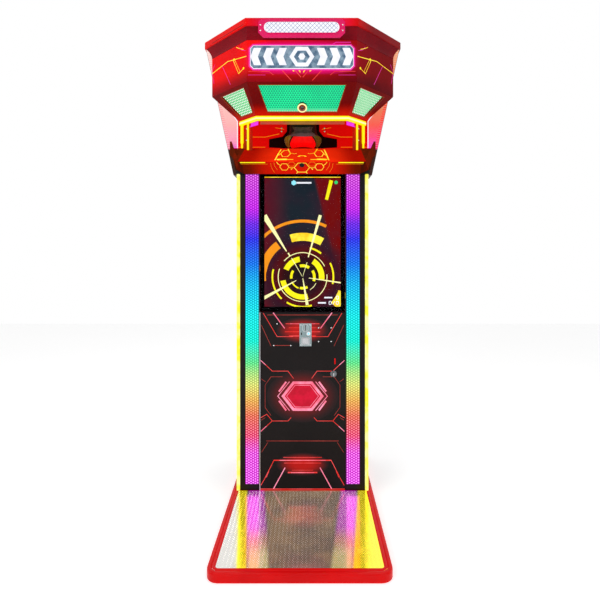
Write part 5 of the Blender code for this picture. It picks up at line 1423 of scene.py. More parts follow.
def buildSides():
    # the posts' red glows as painted light, with painted shade darkening it towards the foot
    postPaint = fadedPaint("postPaint", 2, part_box("post_left")[0].z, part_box("post_left")[1].z, (0.34, 0.016, 0.003),
                           (0.60, 0.006, 0.002), 0.3)
    for side, sign in (("left", -1), ("right", 1)):
        softened(f"post_{side}", postPaint, 0.0012)
        low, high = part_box(f"post_{side}")
        # bolts on the post's outer slanted face
        points = cornersOf(f"post_{side}")
        top = points[points[:, 2] > high.z - 1e-4]
        front = top[np.argmin(top[:, 1] * 10 - sign * top[:, 0])]
        rear = top[np.argmax(top[:, 1] * 10 + sign * top[:, 0])]
        start, end = (rear, front) if sign < 0 else (front, rear)
        face = onPlane((front[0], front[1], 0), (end[0] - start[0], end[1] - start[1], 0), (0, 0, 1))
        middle = (-1 if sign < 0 else 1) * np.linalg.norm((rear - front)[:2]) / 2
        spots = [(middle, high.z - 0.020), (middle, high.z - 0.075)]
        addPiece("postBolts" + side.title(), joined([boltHead(spot, 0.0036, 0.0022, face) for spot in spots]),
                 brightSteel, slot="steel", smooth=40)
        # magenta light patch above the inner leg
        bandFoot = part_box("neon_frame")[1].z - 0.0205
        patch = onPlane((sign * 0.2275, 0.0335, bandFoot - 0.0090), (0.50, sign * 0.50, 0), (0, 0.003, 0.0175))
        shape = plate([(-0.031, -0.0088), (0.031, -0.0088), (0.031, 0.0088), (-0.031, 0.0088)],
                      [(0, -0.0006), (0, 0.0006)], patch)
        addPiece("violetPatch" + side.title(), shape, violetGlow, slot="yellow_light")

    cheekStops = {"left": [(0.0, (0.95, 0.02, 0.62)), (0.12, (1.0, 0.22, 0.42)), (0.45, (1.0, 0.36, 0.36)),
                           (0.8, (1.0, 0.48, 0.44)), (1.0, (1.0, 0.72, 0.66))],
                  "right": [(0.0, (0.98, 0.0, 0.66)), (0.22, (1.0, 0.008, 0.16)), (0.45, (0.95, 0.04, 0.01)),
                            (0.75, (0.80, 0.15, 0.03)), (1.0, (0.95, 0.42, 0.22))]}
    for side, sign in (("left", -1), ("right", 1)):
        for node, axis in ((f"cheek_{side}", 0), (f"head_side_{side}", 1)):
            low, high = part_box(node)
            made, tree, shader = newMaterial(spoken(node) + "Light", Roughness=0.4, Emission_Strength=0.85,
                                             Specular_IOR_Level=0.2)
            axes = splitAxes(tree, objectPlace(tree))
            share = mathNode(tree, "DIVIDE", mathNode(tree, "SUBTRACT", axes[2], low.z), high.z - low.z)
            color = rampNode(tree, share, cheekStops[side])
            hole = useGroup(tree, holesGroup, {"Across": axes[axis], "Up": axes[2],
                                               "Pitch": 0.0060, "Radius": 0.28}).outputs[0]
            shown = mixNode(tree, mathNode(tree, "MULTIPLY", hole, 0.4 if sign < 0 else 0.2), color, (1.0, 1.0, 1.0))
            if axis == 1:
                # below the tray's ears the board is plain and dark
                shown = mixNode(tree, rangeNode(tree, share, 0.200, 0.212), (0.03, 0.006, 0.002), shown)
            tree.links.new(shown, shader.inputs["Emission Color"])
            tree.links.new(mixNode(tree, 0.8, shown, (0.0, 0.0, 0.0)), shader.inputs["Base Color"])
            addBump(tree, shader, mathNode(tree, "SUBTRACT", 1.0, hole), 0.0004, 0.5)
            softened(node, made, 0.0008)
        # white edge along the cheek's inner border
        cheek = frame["nodes"][f"cheek_{side}"]
        points = np.array([v.co for v in cheek.data.vertices])
        low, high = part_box(f"cheek_{side}")
        front = points[points[:, 1] < low.y + 1e-5]
        inner = []
        for z in (low.z, front[np.argsort(np.abs(front[:, 2] - (low.z + 0.1292)))[0], 2], high.z):
            row = front[np.abs(front[:, 2] - z) < 1e-4]
            inner.append((row[np.argmin(np.abs(row[:, 0])), 0] + sign * 0.0025, z))
        edge = strip(inner, 0.0036, 0.0010, frontPlane((0, low.y, 0)))
        addPiece("cheekEdge" + side.title(), edge, whiteLight, slot="white_light", smooth=40)
        # dark frame round the lit side, and slanted ribs across it
        node = f"head_side_{side}"
        sLow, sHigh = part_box(node)
        sides = cornersOf(node)
        foot = sides[np.abs(sides[:, 2] - sLow.z) < 1e-5]
        x0, x1 = sign * np.abs(foot[:, 0]).max(), sign * np.abs(sides[:, 0]).max()
        start = np.array([x0, sLow.y, sLow.z])
        upward = np.array([x1 - x0, 0, sHigh.z - sLow.z])
        tall = np.linalg.norm(upward)
        face = onPlane(start, (0, sign, 0), upward)
        deep = sign * (sHigh.y - sLow.y)
        ring = np.array([(0, 0), (deep, 0), (deep, tall - 0.008), (0, tall - 0.008)])
        if sign < 0:
            ring = ring[::-1]
        border = strip(insetRing(ring, 0.009), 0.016, 0.0016, face, closed=True)
        ribs = [strip([(deep * a, 0.012), (deep * a, tall - 0.020)], 0.010, 0.0014, face) for a in (0.34, 0.67)]
        addPiece("sideFrame" + side.title(), joined([border] + ribs), blackPlastic, slot="black_plastic", smooth=40)
        panelLines = []
        for up in (0.16, 0.32, 0.47):
            for line in (((0.04, 0), (0.24, 0), (0.31, 0.05)), ((0.37, 0.05), (0.46, 0), (0.64, 0)),
                         ((0.70, 0), (0.80, 0), (0.96, 0.07))):
                panelLines.append(strip([(deep * a, up + b) for a, b in line], 0.006, 0.0010, face))
        addPiece("sideLines" + side.title(), joined(panelLines), redGlow, slot="pink_mesh", smooth=40)


buildSides()
print("sides ready")


# punch tray: glowing print, honeycomb, ears and the start button

def hexLine(x, y, halfWidth, halfHeight, places=range(7)):
    angles = np.radians(60 * np.array(list(places)))
    return np.stack([x + halfWidth * np.cos(angles), y + halfHeight * np.sin(angles) / 0.866], 1)


def buildTray():
    low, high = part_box("punch_tray")
    # the tray's red glows as painted light, bright in the middle, with painted shade towards the ears and darkest
    # beyond them
    paint = fadedPaint("trayPaint", 0, 0.12, 0.24, (0.92, 0.024, 0.003), (0.40, 0.005, 0.001), 0.34, axisAbs=True,
                       last=(0.281, (0.10, 0.012, 0.003)), gloss=0.0)
    softened("punch_tray", paint, 0.0010)
    # the chin likewise: painted glow in the middle, painted shade towards the ears
    chinPaint = fadedPaint("chinPaint", 0, 0.12, 0.25, (0.70, 0.010, 0.002), (0.13, 0.007, 0.001), 0.28, axisAbs=True,
                           last=(0.262, (0.06, 0.006, 0.002)), gloss=0.0)
    softened("tray_chin", chinPaint, 0.0012)
    points = cornersOf("punch_tray")
    creaseZ = points[(points[:, 1] < low.y + 1e-5) & (np.abs(points[:, 0]) < 0.28)][:, 2].max() - 0.001
    ridgeZ = creaseZ + 0.1035
    length = math.hypot(high.y - low.y, ridgeZ - creaseZ)
    top = onPlane((0, low.y, creaseZ), (1, 0, 0), (0, high.y - low.y, ridgeZ - creaseZ))
    chinPoints = cornersOf("tray_chin")
    edge = chinPoints[np.argmin(chinPoints[:, 1])]
    lower = chinPoints[np.argmin(chinPoints[:, 2])]
    chin = onPlane((0, edge[1], edge[2]), (1, 0, 0), (0, edge[1] - lower[1], edge[2] - lower[2]))

    # a row of six-sided cells with bright bars between them, on the slope and again on the chin
    thin = []
    for s in (-1, 1):
        thin += [strip(hexLine(s * 0.077, length * 0.57, 0.0225, 0.064), 0.0034, 0.0005, top),
                 strip([(s * 0.054, length * 0.60), (s * 0.036, length * 0.54), (s * 0.026, length * 0.58)], 0.0028,
                       0.0005, top),
                 strip([(s * 0.070, length * 0.96), (s * 0.063, length * 0.76)], 0.0040, 0.0005, top),
                 strip([(s * 0.108, length * 0.42), (s * 0.099, length * 0.56)], 0.0030, 0.0005, top)]
    bright = mirroredBeads([(0.0240, 0.0007, [(0.110, 0.085), (0.092, 0.11), (0.066, 0.11)]),
                            (0.0110, 0.0006, [(0.066, 0.10), (0.038, 0.10)]),
                            (0.0052, 0.0006, [(0.118, 0.05), (0.112, 0.45), (0.103, 0.90)])], top, rise=length)
    thin.append(strip([(-0.017, length * 0.32), (-0.010, length * 0.39), (0.010, length * 0.39),
                       (0.017, length * 0.32)], 0.0090, 0.0005, top))
    addPiece("trayHoneycomb", joined(thin), amberGlow, slot="red_gloss", smooth=40)
    addPiece("trayBars", joined(bright), amberGlow, slot="red_gloss", smooth=40)
    outer = [strip([(s * 0.270, -0.0050), (s * 0.160, -0.0050)], 0.0050, 0.0007, chin) for s in (-1, 1)]
    addPiece("trayCreaseLight", joined(outer), yellowLight, slot="red_gloss", smooth=40)

    buttonLow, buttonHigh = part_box("tray_button")
    buttonAt = -np.linalg.norm(np.array([(buttonLow.y + buttonHigh.y) / 2 - edge[1],
                                         (buttonLow.z + buttonHigh.z) / 2 - edge[2]]))
    lines = [strip(hexLine(0, -0.031, 0.034, 0.0235, (4, 5, 6, 7, 8, 9, 10)), 0.0026, 0.0005, chin)]
    for s in (-1, 1):
        lines += [strip(hexLine(s * 0.077, -0.0275, 0.0200, 0.0165), 0.0022, 0.0005, chin),
                  strip([(s * 0.056, -0.030), (s * 0.048, -0.033), (s * 0.036, -0.031)], 0.0022, 0.0005, chin),
                  strip([(s * 0.094, -0.020), (s * 0.104, -0.012), (s * 0.110, -0.002)], 0.0024, 0.0005, chin),
                  strip([(s * 0.042, -0.035), (s * 0.048, -0.042)], 0.0030, 0.0005, chin),
                  strip([(s * 0.018, -0.054), (s * 0.024, -0.062)], 0.0026, 0.0005, chin)]
    addPiece("chinHoneycomb", joined(lines), amberGlow, slot="red_gloss", smooth=40)
    faint = [strip(hexLine(s * 0.045, -0.0130, 0.0165, 0.0105), 0.0014, 0.0004, chin) for s in (-1, 1)]
    faint += mirroredBeads([(0.0014, 0.0004, [(0.122, -0.004), (0.120, -0.022), (0.108, -0.044)]),
                            (0.0012, 0.0004, [(0.136, -0.008), (0.134, -0.030), (0.122, -0.056)]),
                            (0.0012, 0.0004, [(0.268, -0.013), (0.150, -0.013)])], chin)
    addPiece("chinFaintLines", joined(faint), orangeGlow, slot="red_gloss", smooth=40)
    softened("tray_button", blackLaminate, 0.0012, 3)
    ring = lathe([(0.0086, -0.0003), (0.0086, 0.0012), (0.0100, 0.0016), (0.0114, 0.0004), (0.0114, -0.0003)],
                 lambda flat, height: chin(flat + np.array([0.0, buttonAt]), height), 32, closed=True)
    addPiece("buttonCollar", ring, blackPlastic, slot="black_plastic", smooth=40)
    softened("tray_well", innerRed, 0.0010)


buildTray()
print("tray ready")


# wall, its lines and bolts, and what stands behind it

def buildWall():
    softened("punch_wall", innerRed, 0.0010)
    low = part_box("punch_wall")[0]
    face = frontPlane((0, low.y, 0))
    lines = mirroredBeads([(0.0022, 0.0004, [(0.300, 0.118), (0.190, 0.118), (0.120, 0.134)]),
                           (0.0018, 0.0004, [(0.335, 0.067), (0.190, 0.067)]),
                           (0.0018, 0.0004, [(0.300, 0.206), (0.140, 0.206), (0.105, 0.190)]),
                           (0.0016, 0.0004, [(0.140, 0.165), (0.096, 0.157)])], face, low.z)
    addPiece("wallLines", joined(lines), orangeGlow, slot="red_board", smooth=40)
    bolts = [boltHead((s * 0.108, low.z + up), 0.0042, 0.0022, face) for s in (-1, 1) for up in (0.147, 0.163)]
    addPiece("wallBolts", joined(bolts), brightSteel, slot="steel", smooth=40)
    for node in ("punch_ceiling", "head_floor", "roof_panel", "head_back"):
        softened(node, blackLaminate, 0.0010)


buildWall()


# swinging bag: a stuffed body with leather panels sewn on

bag = dict(radius=0.0925, length=0.170, inset=0.0042, swell=0.0030, gores=8, voxel=0.0050)
bagShares = np.array([(0.0, 0.000), (0.37, 0.000), (0.56, 0.035), (0.71, 0.118), (0.78, 0.235), (0.79, 0.459),
                      (0.855, 0.518), (0.95, 0.576), (1.0, 0.635), (0.99, 0.753), (0.90, 0.871), (0.71, 0.953),
                      (0.43, 0.991), (0.0, 1.000)])


def bagRadius(down):
    # the bag's outline as a smooth curve: half width for each share of the way down
    down = np.asarray(down, float)
    knots = np.concatenate([[(0.30, -0.001)], bagShares[1:-1], [(0.30, 1.001)]])
    radius = np.interp(down, knots[:, 1], knots[:, 0])
    for blur in (0.012, 0.024):
        radius = (np.interp(down - blur, knots[:, 1], knots[:, 0]) + np.interp(down + blur, knots[:, 1], knots[:, 0])
                  + 2 * radius) / 4
    return radius * bag["radius"]


def makeLeather(name, color, shade, scale=340.0, roughness=0.38, glow=0.0):
    made, tree, shader = newMaterial(name, color, Specular_IOR_Level=0.14, Emission_Color=color,
                                     Emission_Strength=glow)
    place = objectPlace(tree)
    cells = tree.nodes.new("ShaderNodeTexVoronoi")
    cells.feature = "DISTANCE_TO_EDGE"
    cells.inputs["Scale"].default_value = scale
    tree.links.new(place, cells.inputs["Vector"])
    pebble = rangeNode(tree, cells.outputs["Distance"], 0.0, 0.22)
    worn = rangeNode(tree, noiseNode(tree, place, 34.0, 6.0, 0.65), 0.42, 0.70)
    tree.links.new(mixNode(tree, worn, color, shade), shader.inputs["Base Color"])
    tree.links.new(rangeNode(tree, worn, 0.0, 1.0, roughness, roughness + 0.2), shader.inputs["Roughness"])
    addBump(tree, shader, mathNode(tree, "ADD", pebble, mathNode(tree, "MULTIPLY", worn, 0.6)), 0.00035, 0.6)
    return made


def buildBag():
    low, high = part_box("punch_bag")
    centreX, centreY = (low.x + high.x) / 2, (low.y + high.y) / 2
    black = makeLeather("blackLeather", (0.008, 0.008, 0.008), (0.020, 0.018, 0.016))
    grey = makeLeather("greyLeather", (0.150, 0.100, 0.118), (0.080, 0.056, 0.068))
    # the red panel's glow is painted light; the side panels are one leather in a lit and a shaded copy, each with a
    # faint painted glow
    red = makeLeather("redLeather", (0.84, 0.002, 0.002), (0.55, 0.001, 0.001), glow=0.45)
    shadedSide = makeLeather("sideLeatherShaded", (0.13, 0.10, 0.006), (0.04, 0.03, 0.006), glow=0.15)
    litSide = makeLeather("sideLeatherLit", (0.24, 0.17, 0.008), (0.08, 0.05, 0.006), glow=0.15)

    # body: the outline turned round, pulled in along each seam between gores
    rows, columns = 40, 96
    down = np.linspace(0.004, 0.996, rows)
    angle = np.linspace(0, 2 * np.pi, columns, endpoint=False)
    pull = np.abs(np.sin(angle * bag["gores"] / 2)) ** 0.6
    radius = (bagRadius(down)[:, None] - bag["inset"]) * (1 - 0.028 * (1 - pull)[None, :])
    z = high.z - 0.0030 - (bag["length"] - 0.0060) * down
    points = np.stack([centreX + radius * np.cos(angle), centreY + radius * np.sin(angle),
                       np.broadcast_to(z[:, None], radius.shape)], -1).reshape(-1, 3)
    last = (rows - 1) * columns
    faces = gridFaces(rows, columns, closeColumns=True)
    faces += [list(range(columns)), [last + k for k in range(columns)][::-1]]
    body = addPiece("bagBody", (points, faces), black, "bag", "bag_leather", ["punch_bag"], smooth=60)
    swellBag(body)

    def patch(name, material, topAngles, footAngles, downs, lift, crown, hem=0.0, waist=0.0, fill=0.7):
        # a sewn panel: a piece of the bag's outline lifted off it, thickest in its middle
        m, n = 26, 30
        u, v = np.meshgrid(np.linspace(0, 1, m), np.linspace(0, 1, n), indexing="ij")
        arch = 1 - (2 * v - 1) ** 2
        d = downs[0] + (downs[1] - downs[0]) * u + hem * arch * (u + 0.5 * (1 - u))
        first = topAngles[0] + (footAngles[0] - topAngles[0]) * u
        last = topAngles[1] + (footAngles[1] - topAngles[1]) * u
        spread = 1 - waist * np.sin(np.pi * u) ** 1.5
        a = np.radians((first + last) / 2 + (last - first) / 2 * (2 * v - 1) * spread)
        swell = (1 - (2 * u - 1) ** 6) * (1 - (2 * v - 1) ** 6)
        puff = lift + crown * swell
        reach = bagRadius(np.clip(d, 0.004, 0.996))
        outer = np.minimum(reach - 0.0010 + puff, bag["radius"] + 0.003)
        layers = []
        for r in (outer, reach - bag["inset"] * 1.1):
            layers.append(np.stack([centreX + r * np.cos(a), centreY + r * np.sin(a),
                                    high.z - 0.0030 - (bag["length"] - 0.0060) * d], -1))
        top, under = layers
        rim = np.concatenate([top[0, :-1], top[:-1, -1], top[-1, :0:-1], top[:0:-1, 0]])
        points = np.concatenate([top.reshape(-1, 3), under.reshape(-1, 3)])
        faces = gridFaces(m, n) + [[m * n + k for k in face][::-1] for face in gridFaces(m, n)]
        index = np.arange(m * n).reshape(m, n)
        loop = np.concatenate([index[0, :-1], index[:-1, -1], index[-1, :0:-1], index[:0:-1, 0]])
        after = np.roll(loop, -1)
        faces += np.stack([loop, loop + m * n, after + m * n, after], 1).tolist()
        piece = addPiece(name, (points, faces), material, "bag", "bag_leather", smooth=50)
        return rim

    rims = [patch("bagFrontPanel", red, (-118, -62), (-148, -32), (0.655, 0.95), 0.0008, 0.0030),
            patch("bagSideLeft", litSide, (-172, -122), (-166, -151), (0.60, 0.91), 0.0004, 0.0022),
            patch("bagSideRight", shadedSide, (-60, -4), (-30, -12), (0.60, 0.91), 0.0004, 0.0022),
            patch("bagCollar", grey, (-130, -50), (-134, -46), (0.35, 0.62), 0.0030, 0.0055, hem=0.065, waist=0.20)]

    # stitches: short rounded dashes just inside each panel's rim
    dashes = []
    for rim in rims:
        step = np.linalg.norm(np.roll(rim, -1, 0) - rim, axis=1)
        travel = np.concatenate([[0], np.cumsum(step)])
        closedRim = np.concatenate([rim, rim[:1]])
        inward = np.array([centreX, centreY, rim[:, 2].mean()])
        for start in np.arange(0.0, travel[-1] - 0.004, 0.0062):
            ends = np.array([[np.interp(start + step, travel, closedRim[:, k]) for k in range(3)]
                             for step in (0.0, 0.0016, 0.0032)])
            middle = rim.mean(0)
            ends = ends + (middle - ends) * 0.055
            out = ends - inward
            out[:, 2] = 0
            ends = ends + out / np.linalg.norm(out, axis=1, keepdims=True) * 0.0022
            dashes.append(tube(ends, [0.0003, 0.0006, 0.0003], 5))
    thread = panelMaterial("thread", (0.42, 0.38, 0.34), (0.25, 0.22, 0.20), roughness=0.7)
    addPiece("bagStitches", joined(dashes), thread, "bag", "bag_leather", solid=False)

    # lacing plate on top
    topFace = onPlane((centreX, centreY, high.z), (1, 0, 0), (0, 1, 0))
    collar = lathe([(0.0345, -0.0035), (0.0345, -0.0008), (0.0370, 0.0000), (0.0480, -0.0010), (0.0500, -0.0040),
                    (0.0480, -0.0060)], topFace, 40, closed=True)
    addPiece("bagTopRing", collar, black, "bag", "bag_leather", smooth=50)


def swellBag(piece):
    # the stuffing pushes the cover out from inside; no point moves further than the swell
    remesh = piece.modifiers.new("remesh", "REMESH")
    remesh.mode, remesh.voxel_size = "VOXEL", bag["voxel"]
    bpy.context.view_layer.update()
    evaluated = piece.evaluated_get(bpy.context.evaluated_depsgraph_get())
    fine = bpy.data.meshes.new_from_object(evaluated)
    piece.modifiers.clear()
    piece.data = fine
    start = np.zeros(len(fine.vertices) * 3)
    fine.vertices.foreach_get("co", start)
    cloth = piece.modifiers.new("swell", "CLOTH")
    cloth.settings.use_pressure = True
    cloth.settings.uniform_pressure_force = 4.0
    cloth.settings.effector_weights.gravity = 0.0
    cloth.settings.quality = 5
    cloth.point_cache.frame_start, cloth.point_cache.frame_end = 1, 20
    scene = bpy.context.scene
    for moment in range(1, 21):
        scene.frame_set(moment)
    evaluated = piece.evaluated_get(bpy.context.evaluated_depsgraph_get())
    moved = np.zeros(len(evaluated.data.vertices) * 3)
    evaluated.data.vertices.foreach_get("co", moved)
    piece.modifiers.clear()
    scene.frame_set(1)
    start, moved = start.reshape(-1, 3), moved.reshape(-1, 3)
    shift = moved - start
    far = np.linalg.norm(shift, axis=1, keepdims=True)
    shift = shift * np.minimum(1.0, bag["swell"] / np.maximum(far, 1e-9))
    fine.vertices.foreach_set("co", (start + shift).reshape(-1))
    fine.update()
    fine.materials.clear()
    fine.materials.append(bpy.data.materials["blackLeather"])
    subdivision = piece.modifiers.new("subdivision", "SUBSURF")
    subdivision.levels = subdivision.render_levels = 1
    fine.shade_smooth()


buildBag()
print("bag ready")


# arm, bearings, latch and the cabinet's inside

def dress(node, material):
    slots = frame["nodes"][node].data.materials
    slots.clear()
    slots.append(material)


for node in ("swing_arm", "pivot_shaft", "shaft_bearing_left", "shaft_bearing_right", "latch_pawl", "latch_plunger"):
    dress(node, machinedSteel)
for node in ("pivot_frame", "encoder_disc", "cash_box"):
    dress(node, zincPlate)
for node in ("power_supply", "latch_solenoid"):
    dress(node, blackPlastic)
dress("control_board", circuitGreen)
dress("bag_stop", blackRubber)


# back of the cabinet: louvred door, lock, inlet socket

rear = dict(louvres=9, pitch=0.022, width=0.240, lift=0.0055)


def buildRear():
    low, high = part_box("rear_door")
    softened("rear_door", blackLaminate, 0.0012)
    face = onPlane((0, high.y, 0), (-1, 0, 0), (0, 0, 1))
    half = rear["width"] / 2
    shapes = []
    for block in (low.z + 0.12, high.z - 0.42):
        for k in range(rear["louvres"]):
            z = block + k * rear["pitch"]
            # each louvre is a hood: a quarter-round section drawn along, ends tapered in
            across = np.linspace(-half, half, 13)
            taper = np.clip(1 - (np.abs(across) / half) ** 8, 0.06, 1)
            section = np.array([(0.0, 0.0), (0.010, 0.0), (0.0085, 0.45), (0.0060, 0.80), (0.0030, 1.0), (0.0, 1.0)])
            points = face(np.stack([np.repeat(across, 6), z + np.tile(section[:, 0], 13)], 1),
                          (section[:, 1][None, :] * rear["lift"] * taper[:, None] - 0.0001).reshape(-1))
            faces = gridFaces(13, 6, closeColumns=True) + [list(range(6)), [72 + k2 for k2 in range(6)][::-1]]
            shapes.append((points, faces))
    addPiece("rearLouvres", joined(shapes), blackPlastic, "back_door", "black_plastic", smooth=40)
    middle = (low.z + high.z) / 2
    lockFace = onPlane((low.x + 0.045, high.y, middle), (-1, 0, 0), (0, 0, 1))
    barrel = lathe([(0.0001, 0.0012), (0.0065, 0.0012), (0.0070, 0.0028), (0.0095, 0.0032), (0.0120, 0.0018),
                    (0.0120, -0.0002)], lockFace, 32)
    key = plate([(-0.0008, -0.0038), (0.0008, -0.0038), (0.0008, 0.0038), (-0.0008, 0.0038)],
                [(0, 0.0010), (0, 0.0016)], lockFace)
    addPiece("rearLock", barrel, brightSteel, "back_door", "steel", smooth=40)
    addPiece("rearKeyway", key, blackPlastic, "back_door", "black_plastic")
    # three hinge barrels stand on the door's swinging edge
    barrels = []
    for z in np.linspace(low.z + 0.12, high.z - 0.12, 3):
        stand = onPlane((high.x, high.y, z), (1, 0, 0), (0, 1, 0))
        for start in (-0.036, -0.0115, 0.013):
            barrels.append(lathe([(0.0001, start), (0.0034, start), (0.0040, start + 0.0006),
                                  (0.0040, start + 0.0224),
                                  (0.0034, start + 0.0230), (0.0001, start + 0.0230)], stand, 20))
    addPiece("rearHinges", joined(barrels), machinedSteel, slot="steel", smooth=40)
    backLow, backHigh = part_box("head_back")
    backFace = onPlane((0, backHigh.y, 0), (-1, 0, 0), (0, 0, 1))
    screws = [boltHead((s * (-backLow.x - 0.120), z), 0.0040, 0.0016, backFace)
              for s in (-1, 1) for z in (backLow.z + 0.05, (backLow.z + backHigh.z) / 2, backHigh.z - 0.05)]
    addPiece("headBackScrews", joined(screws), machinedSteel, slot="steel", smooth=40)

    iLow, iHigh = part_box("mains_inlet")
    softened("mains_inlet", blackPlastic, 0.0012)
    side = onPlane((iHigh.x, (iLow.y + iHigh.y) / 2, (iLow.z + iHigh.z) / 2), (0, 1, 0), (0, 0, 1))
    socket = np.array([(-0.0125, -0.008), (0.0125, -0.008), (0.0125, 0.003), (0.0075, 0.008), (-0.0075, 0.008),
                       (-0.0125, 0.003)])
    ringShape = strip(socket, 0.0016, 0.0010, side, closed=True)
    pins = [plate(np.array([(-0.001, -0.003), (0.001, -0.003), (0.001, 0.003), (-0.001, 0.003)]) + (x, y),
                  [(0, -0.0002), (0, 0.0006)], side) for x, y in ((-0.007, -0.002), (0.007, -0.002), (0.0, 0.002))]
    addPiece("inletFrame", ringShape, blackPlastic, slot="black_plastic", smooth=40)
    addPiece("inletPins", joined(pins), brightSteel, slot="steel")


buildRear()
print("rear ready")


# inside the cabinet: what the boards, boxes and plates carry

def buildInside():
    low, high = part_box("control_board")
    inner = low.x
    board = onPlane((inner, (low.y + high.y) / 2, (low.z + high.z) / 2), (0, -1, 0), (0, 0, 1))
    wide, tall = (high.y - low.y) / 2, (high.z - low.z) / 2

    def block(x, y, across, up, depth, edge=0.0006):
        ring = roundedRing((x - across / 2, y - up / 2), (x + across / 2, y + up / 2), min(across, up) * 0.12, 2)
        return plate(ring, [(0, -0.0002), (0, depth - edge), (edge, depth)], board)
    chips = [block(x * wide, y * tall, w, h, d) for x, y, w, h, d in
             ((-0.10, 0.30, 0.034, 0.034, 0.0024), (0.42, 0.36, 0.016, 0.022, 0.0020), (-0.55, 0.34, 0.014, 0.020,
                                                                                        0.0020),
              (0.30, -0.08, 0.012, 0.012, 0.0018), (-0.45, -0.05, 0.012, 0.012, 0.0018), (0.0, -0.30, 0.020, 0.014,
                                                                                          0.0040))]
    addPiece("boardChips", joined(chips), blackPlastic, slot="black_plastic")
    plugs = [block(x * wide, y * tall, w, h, 0.0085, 0.0012) for x, y, w, h in
             ((-0.6, 0.88, 0.026, 0.010), (-0.1, 0.88, 0.034, 0.010), (0.5, 0.88, 0.026, 0.010),
              (-0.5, -0.88, 0.040, 0.011), (0.4, -0.88, 0.046, 0.011), (0.86, 0.1, 0.010, 0.060))]
    addPiece("boardPlugs", joined(plugs), creamPlastic, slot="black_plastic")
    cans = []
    for x, y in ((-0.7, -0.5), (-0.4, -0.5), (0.55, -0.5), (0.72, -0.34)):
        place = onPlane(board(np.array([[x * wide, y * tall]]), np.array([0.0]))[0], (0, -1, 0), (0, 0, 1))
        cans.append(lathe([(0.0001, 0.0122), (0.0042, 0.0122), (0.0050, 0.0114), (0.0050, 0.0010), (0.0044, -0.0002)],
                          place, 20))
    addPiece("boardCans", joined(cans), brightSteel, slot="steel", smooth=40)
    tracks = []
    for k in range(9):
        y = tall * (0.72 - 0.15 * k)
        tracks.append(strip([(-0.86 * wide, y), (-0.30 * wide, y), (-0.16 * wide, y - 0.008),
                             (0.84 * wide, y - 0.008)],
                            0.0012, 0.0002, board, round=False))
    addPiece("boardTracks", joined(tracks), paleTrack, slot="green_circuit")

    low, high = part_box("power_supply")
    case = onPlane((high.x, (low.y + high.y) / 2, (low.z + high.z) / 2), (0, 1, 0), (0, 0, 1))
    wide, tall = (high.y - low.y) / 2, (high.z - low.z) / 2
    slots = [strip([(-wide * 0.62, tall * y), (wide * 0.62, tall * y)], 0.0040, 0.0012, case)
             for y in np.linspace(-0.20, 0.80, 9)]
    addPiece("supplyVents", joined(slots), zincPlate, slot="zinc_plate", smooth=40)
    terminals = [boltHead((wide * x, -tall * 0.72), 0.0042, 0.0030, case) for x in np.linspace(-0.7, 0.7, 7)]
    addPiece("supplyTerminals", joined(terminals), brightSteel, slot="steel", smooth=40)

    low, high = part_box("cash_box")
    top = onPlane(((low.x + high.x) / 2, (low.y + high.y) / 2, high.z), (1, 0, 0), (0, 1, 0))
    wide, deep = (high.x - low.x) / 2, (high.y - low.y) / 2
    rolled = strip(roundedRing((-wide + 0.002, -deep + 0.002), (wide - 0.002, deep - 0.002), 0.004, 4), 0.0038,
                   0.0022,
                   top, closed=True)
    front = frontPlane(((low.x + high.x) / 2, low.y, (low.z + high.z) / 2))
    grip = strip([(-0.040, 0.020), (-0.040, 0.036), (0.040, 0.036), (0.040, 0.020)], 0.0060, 0.0050, front)
    addPiece("cashBoxRims", joined([rolled, grip]), zincPlate, slot="zinc_plate", smooth=40)


creamPlastic = panelMaterial("creamPlastic", (0.62, 0.57, 0.44), (0.50, 0.45, 0.34), roughness=0.4,
                             Specular_IOR_Level=0.3)
paleTrack = panelMaterial("paleTrack", (0.03, 0.24, 0.09), (0.02, 0.18, 0.07), roughness=0.35)
buildInside()
print("inside ready")


# camera, lamps and floor

stageValues = dict(cameraX=0.040, cameraY=-2.295, cameraZ=1.152, lens=29.76, shiftX=-0.0183, shiftY=-0.075,
                   keyPower=46.0, fillPower=24.0, topPower=26.0, worldStrength=0.42,
                   floorGlow=0.50)


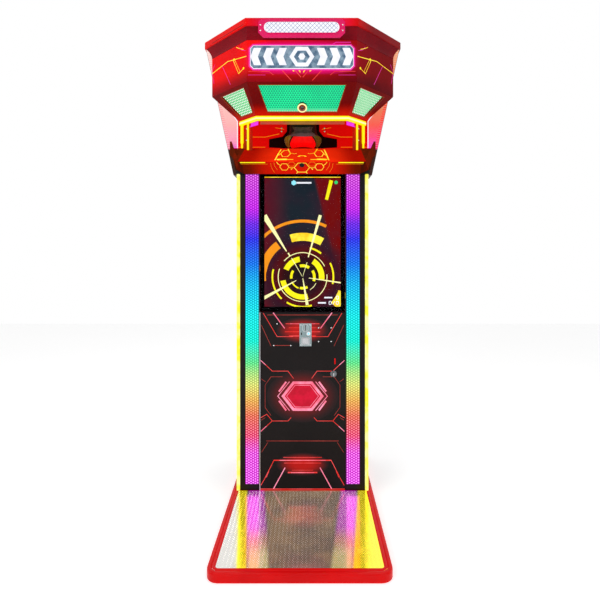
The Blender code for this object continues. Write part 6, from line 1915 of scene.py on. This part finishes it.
def buildStage():
    camera = bpy.data.cameras.new("camera")
    camera.lens, camera.sensor_width = stageValues["lens"], 36.0
    camera.shift_x, camera.shift_y = stageValues["shiftX"], stageValues["shiftY"]
    holder = bpy.data.objects.new("camera", camera)
    holder.location = [stageValues["camera" + axis] for axis in "XYZ"]
    holder.rotation_euler = (math.radians(90), 0, 0)
    bpy.context.scene.collection.objects.link(holder)
    bpy.context.scene.camera = holder

    def lamp(name, place, target, size, power):
        light = bpy.data.lights.new(name, "AREA")
        light.shape, light.size, light.energy = "SQUARE", size, power
        made = bpy.data.objects.new(name, light)
        made.location = place
        made.rotation_euler = (Vector(target) - Vector(place)).to_track_quat("-Z", "Y").to_euler()
        bpy.context.scene.collection.objects.link(made)
    lamp("keyLamp", (-2.2, -3.0, 3.0), (0, 0, 1.1), 2.2, stageValues["keyPower"])
    lamp("fillLamp", (2.6, -2.4, 1.8), (0, 0, 1.0), 2.4, stageValues["fillPower"])
    lamp("topLamp", (0.0, 0.6, 4.2), (0, 0, 1.0), 2.6, stageValues["topPower"])

    world = bpy.data.worlds.new("studio")
    bpy.context.scene.world = world
    world.use_nodes = True
    tree = world.node_tree
    background = tree.nodes["Background"]
    seen = seenNode(tree)
    background.inputs["Color"].default_value = (1.0, 1.0, 1.0, 1.0)
    tree.links.new(rangeNode(tree, seen, 0.0, 1.0, stageValues["worldStrength"], 1.0), background.inputs["Strength"])

    size = 6.0
    corners = np.array([(-size, -size, -0.0005), (size, -size, -0.0005), (size, size, -0.0005), (-size, size,
                                                                                                 -0.0005)])
    floorPaint, tree, shader = newMaterial("floorPaint", (0.93, 0.93, 0.93), Roughness=0.75)
    grain = noiseNode(tree, objectPlace(tree), 60.0, 2.0)
    tree.links.new(mixNode(tree, grain, (0.91, 0.91, 0.91), (0.95, 0.95, 0.95)), shader.inputs["Base Color"])
    seen = seenNode(tree)
    shader.inputs["Emission Color"].default_value = (1.0, 1.0, 1.0, 1.0)
    tree.links.new(mathNode(tree, "MULTIPLY", seen, stageValues["floorGlow"]), shader.inputs["Emission Strength"])
    mesh = bpy.data.meshes.new("floor")
    mesh.from_pydata(corners.tolist(), [], [[0, 1, 2, 3]])
    mesh.materials.append(floorPaint)
    floor = bpy.data.objects.new("floor", mesh)
    bpy.context.scene.collection.objects.link(floor)
    bpy.context.scene.view_settings.view_transform = "Standard"


buildStage()
print("scene ready")
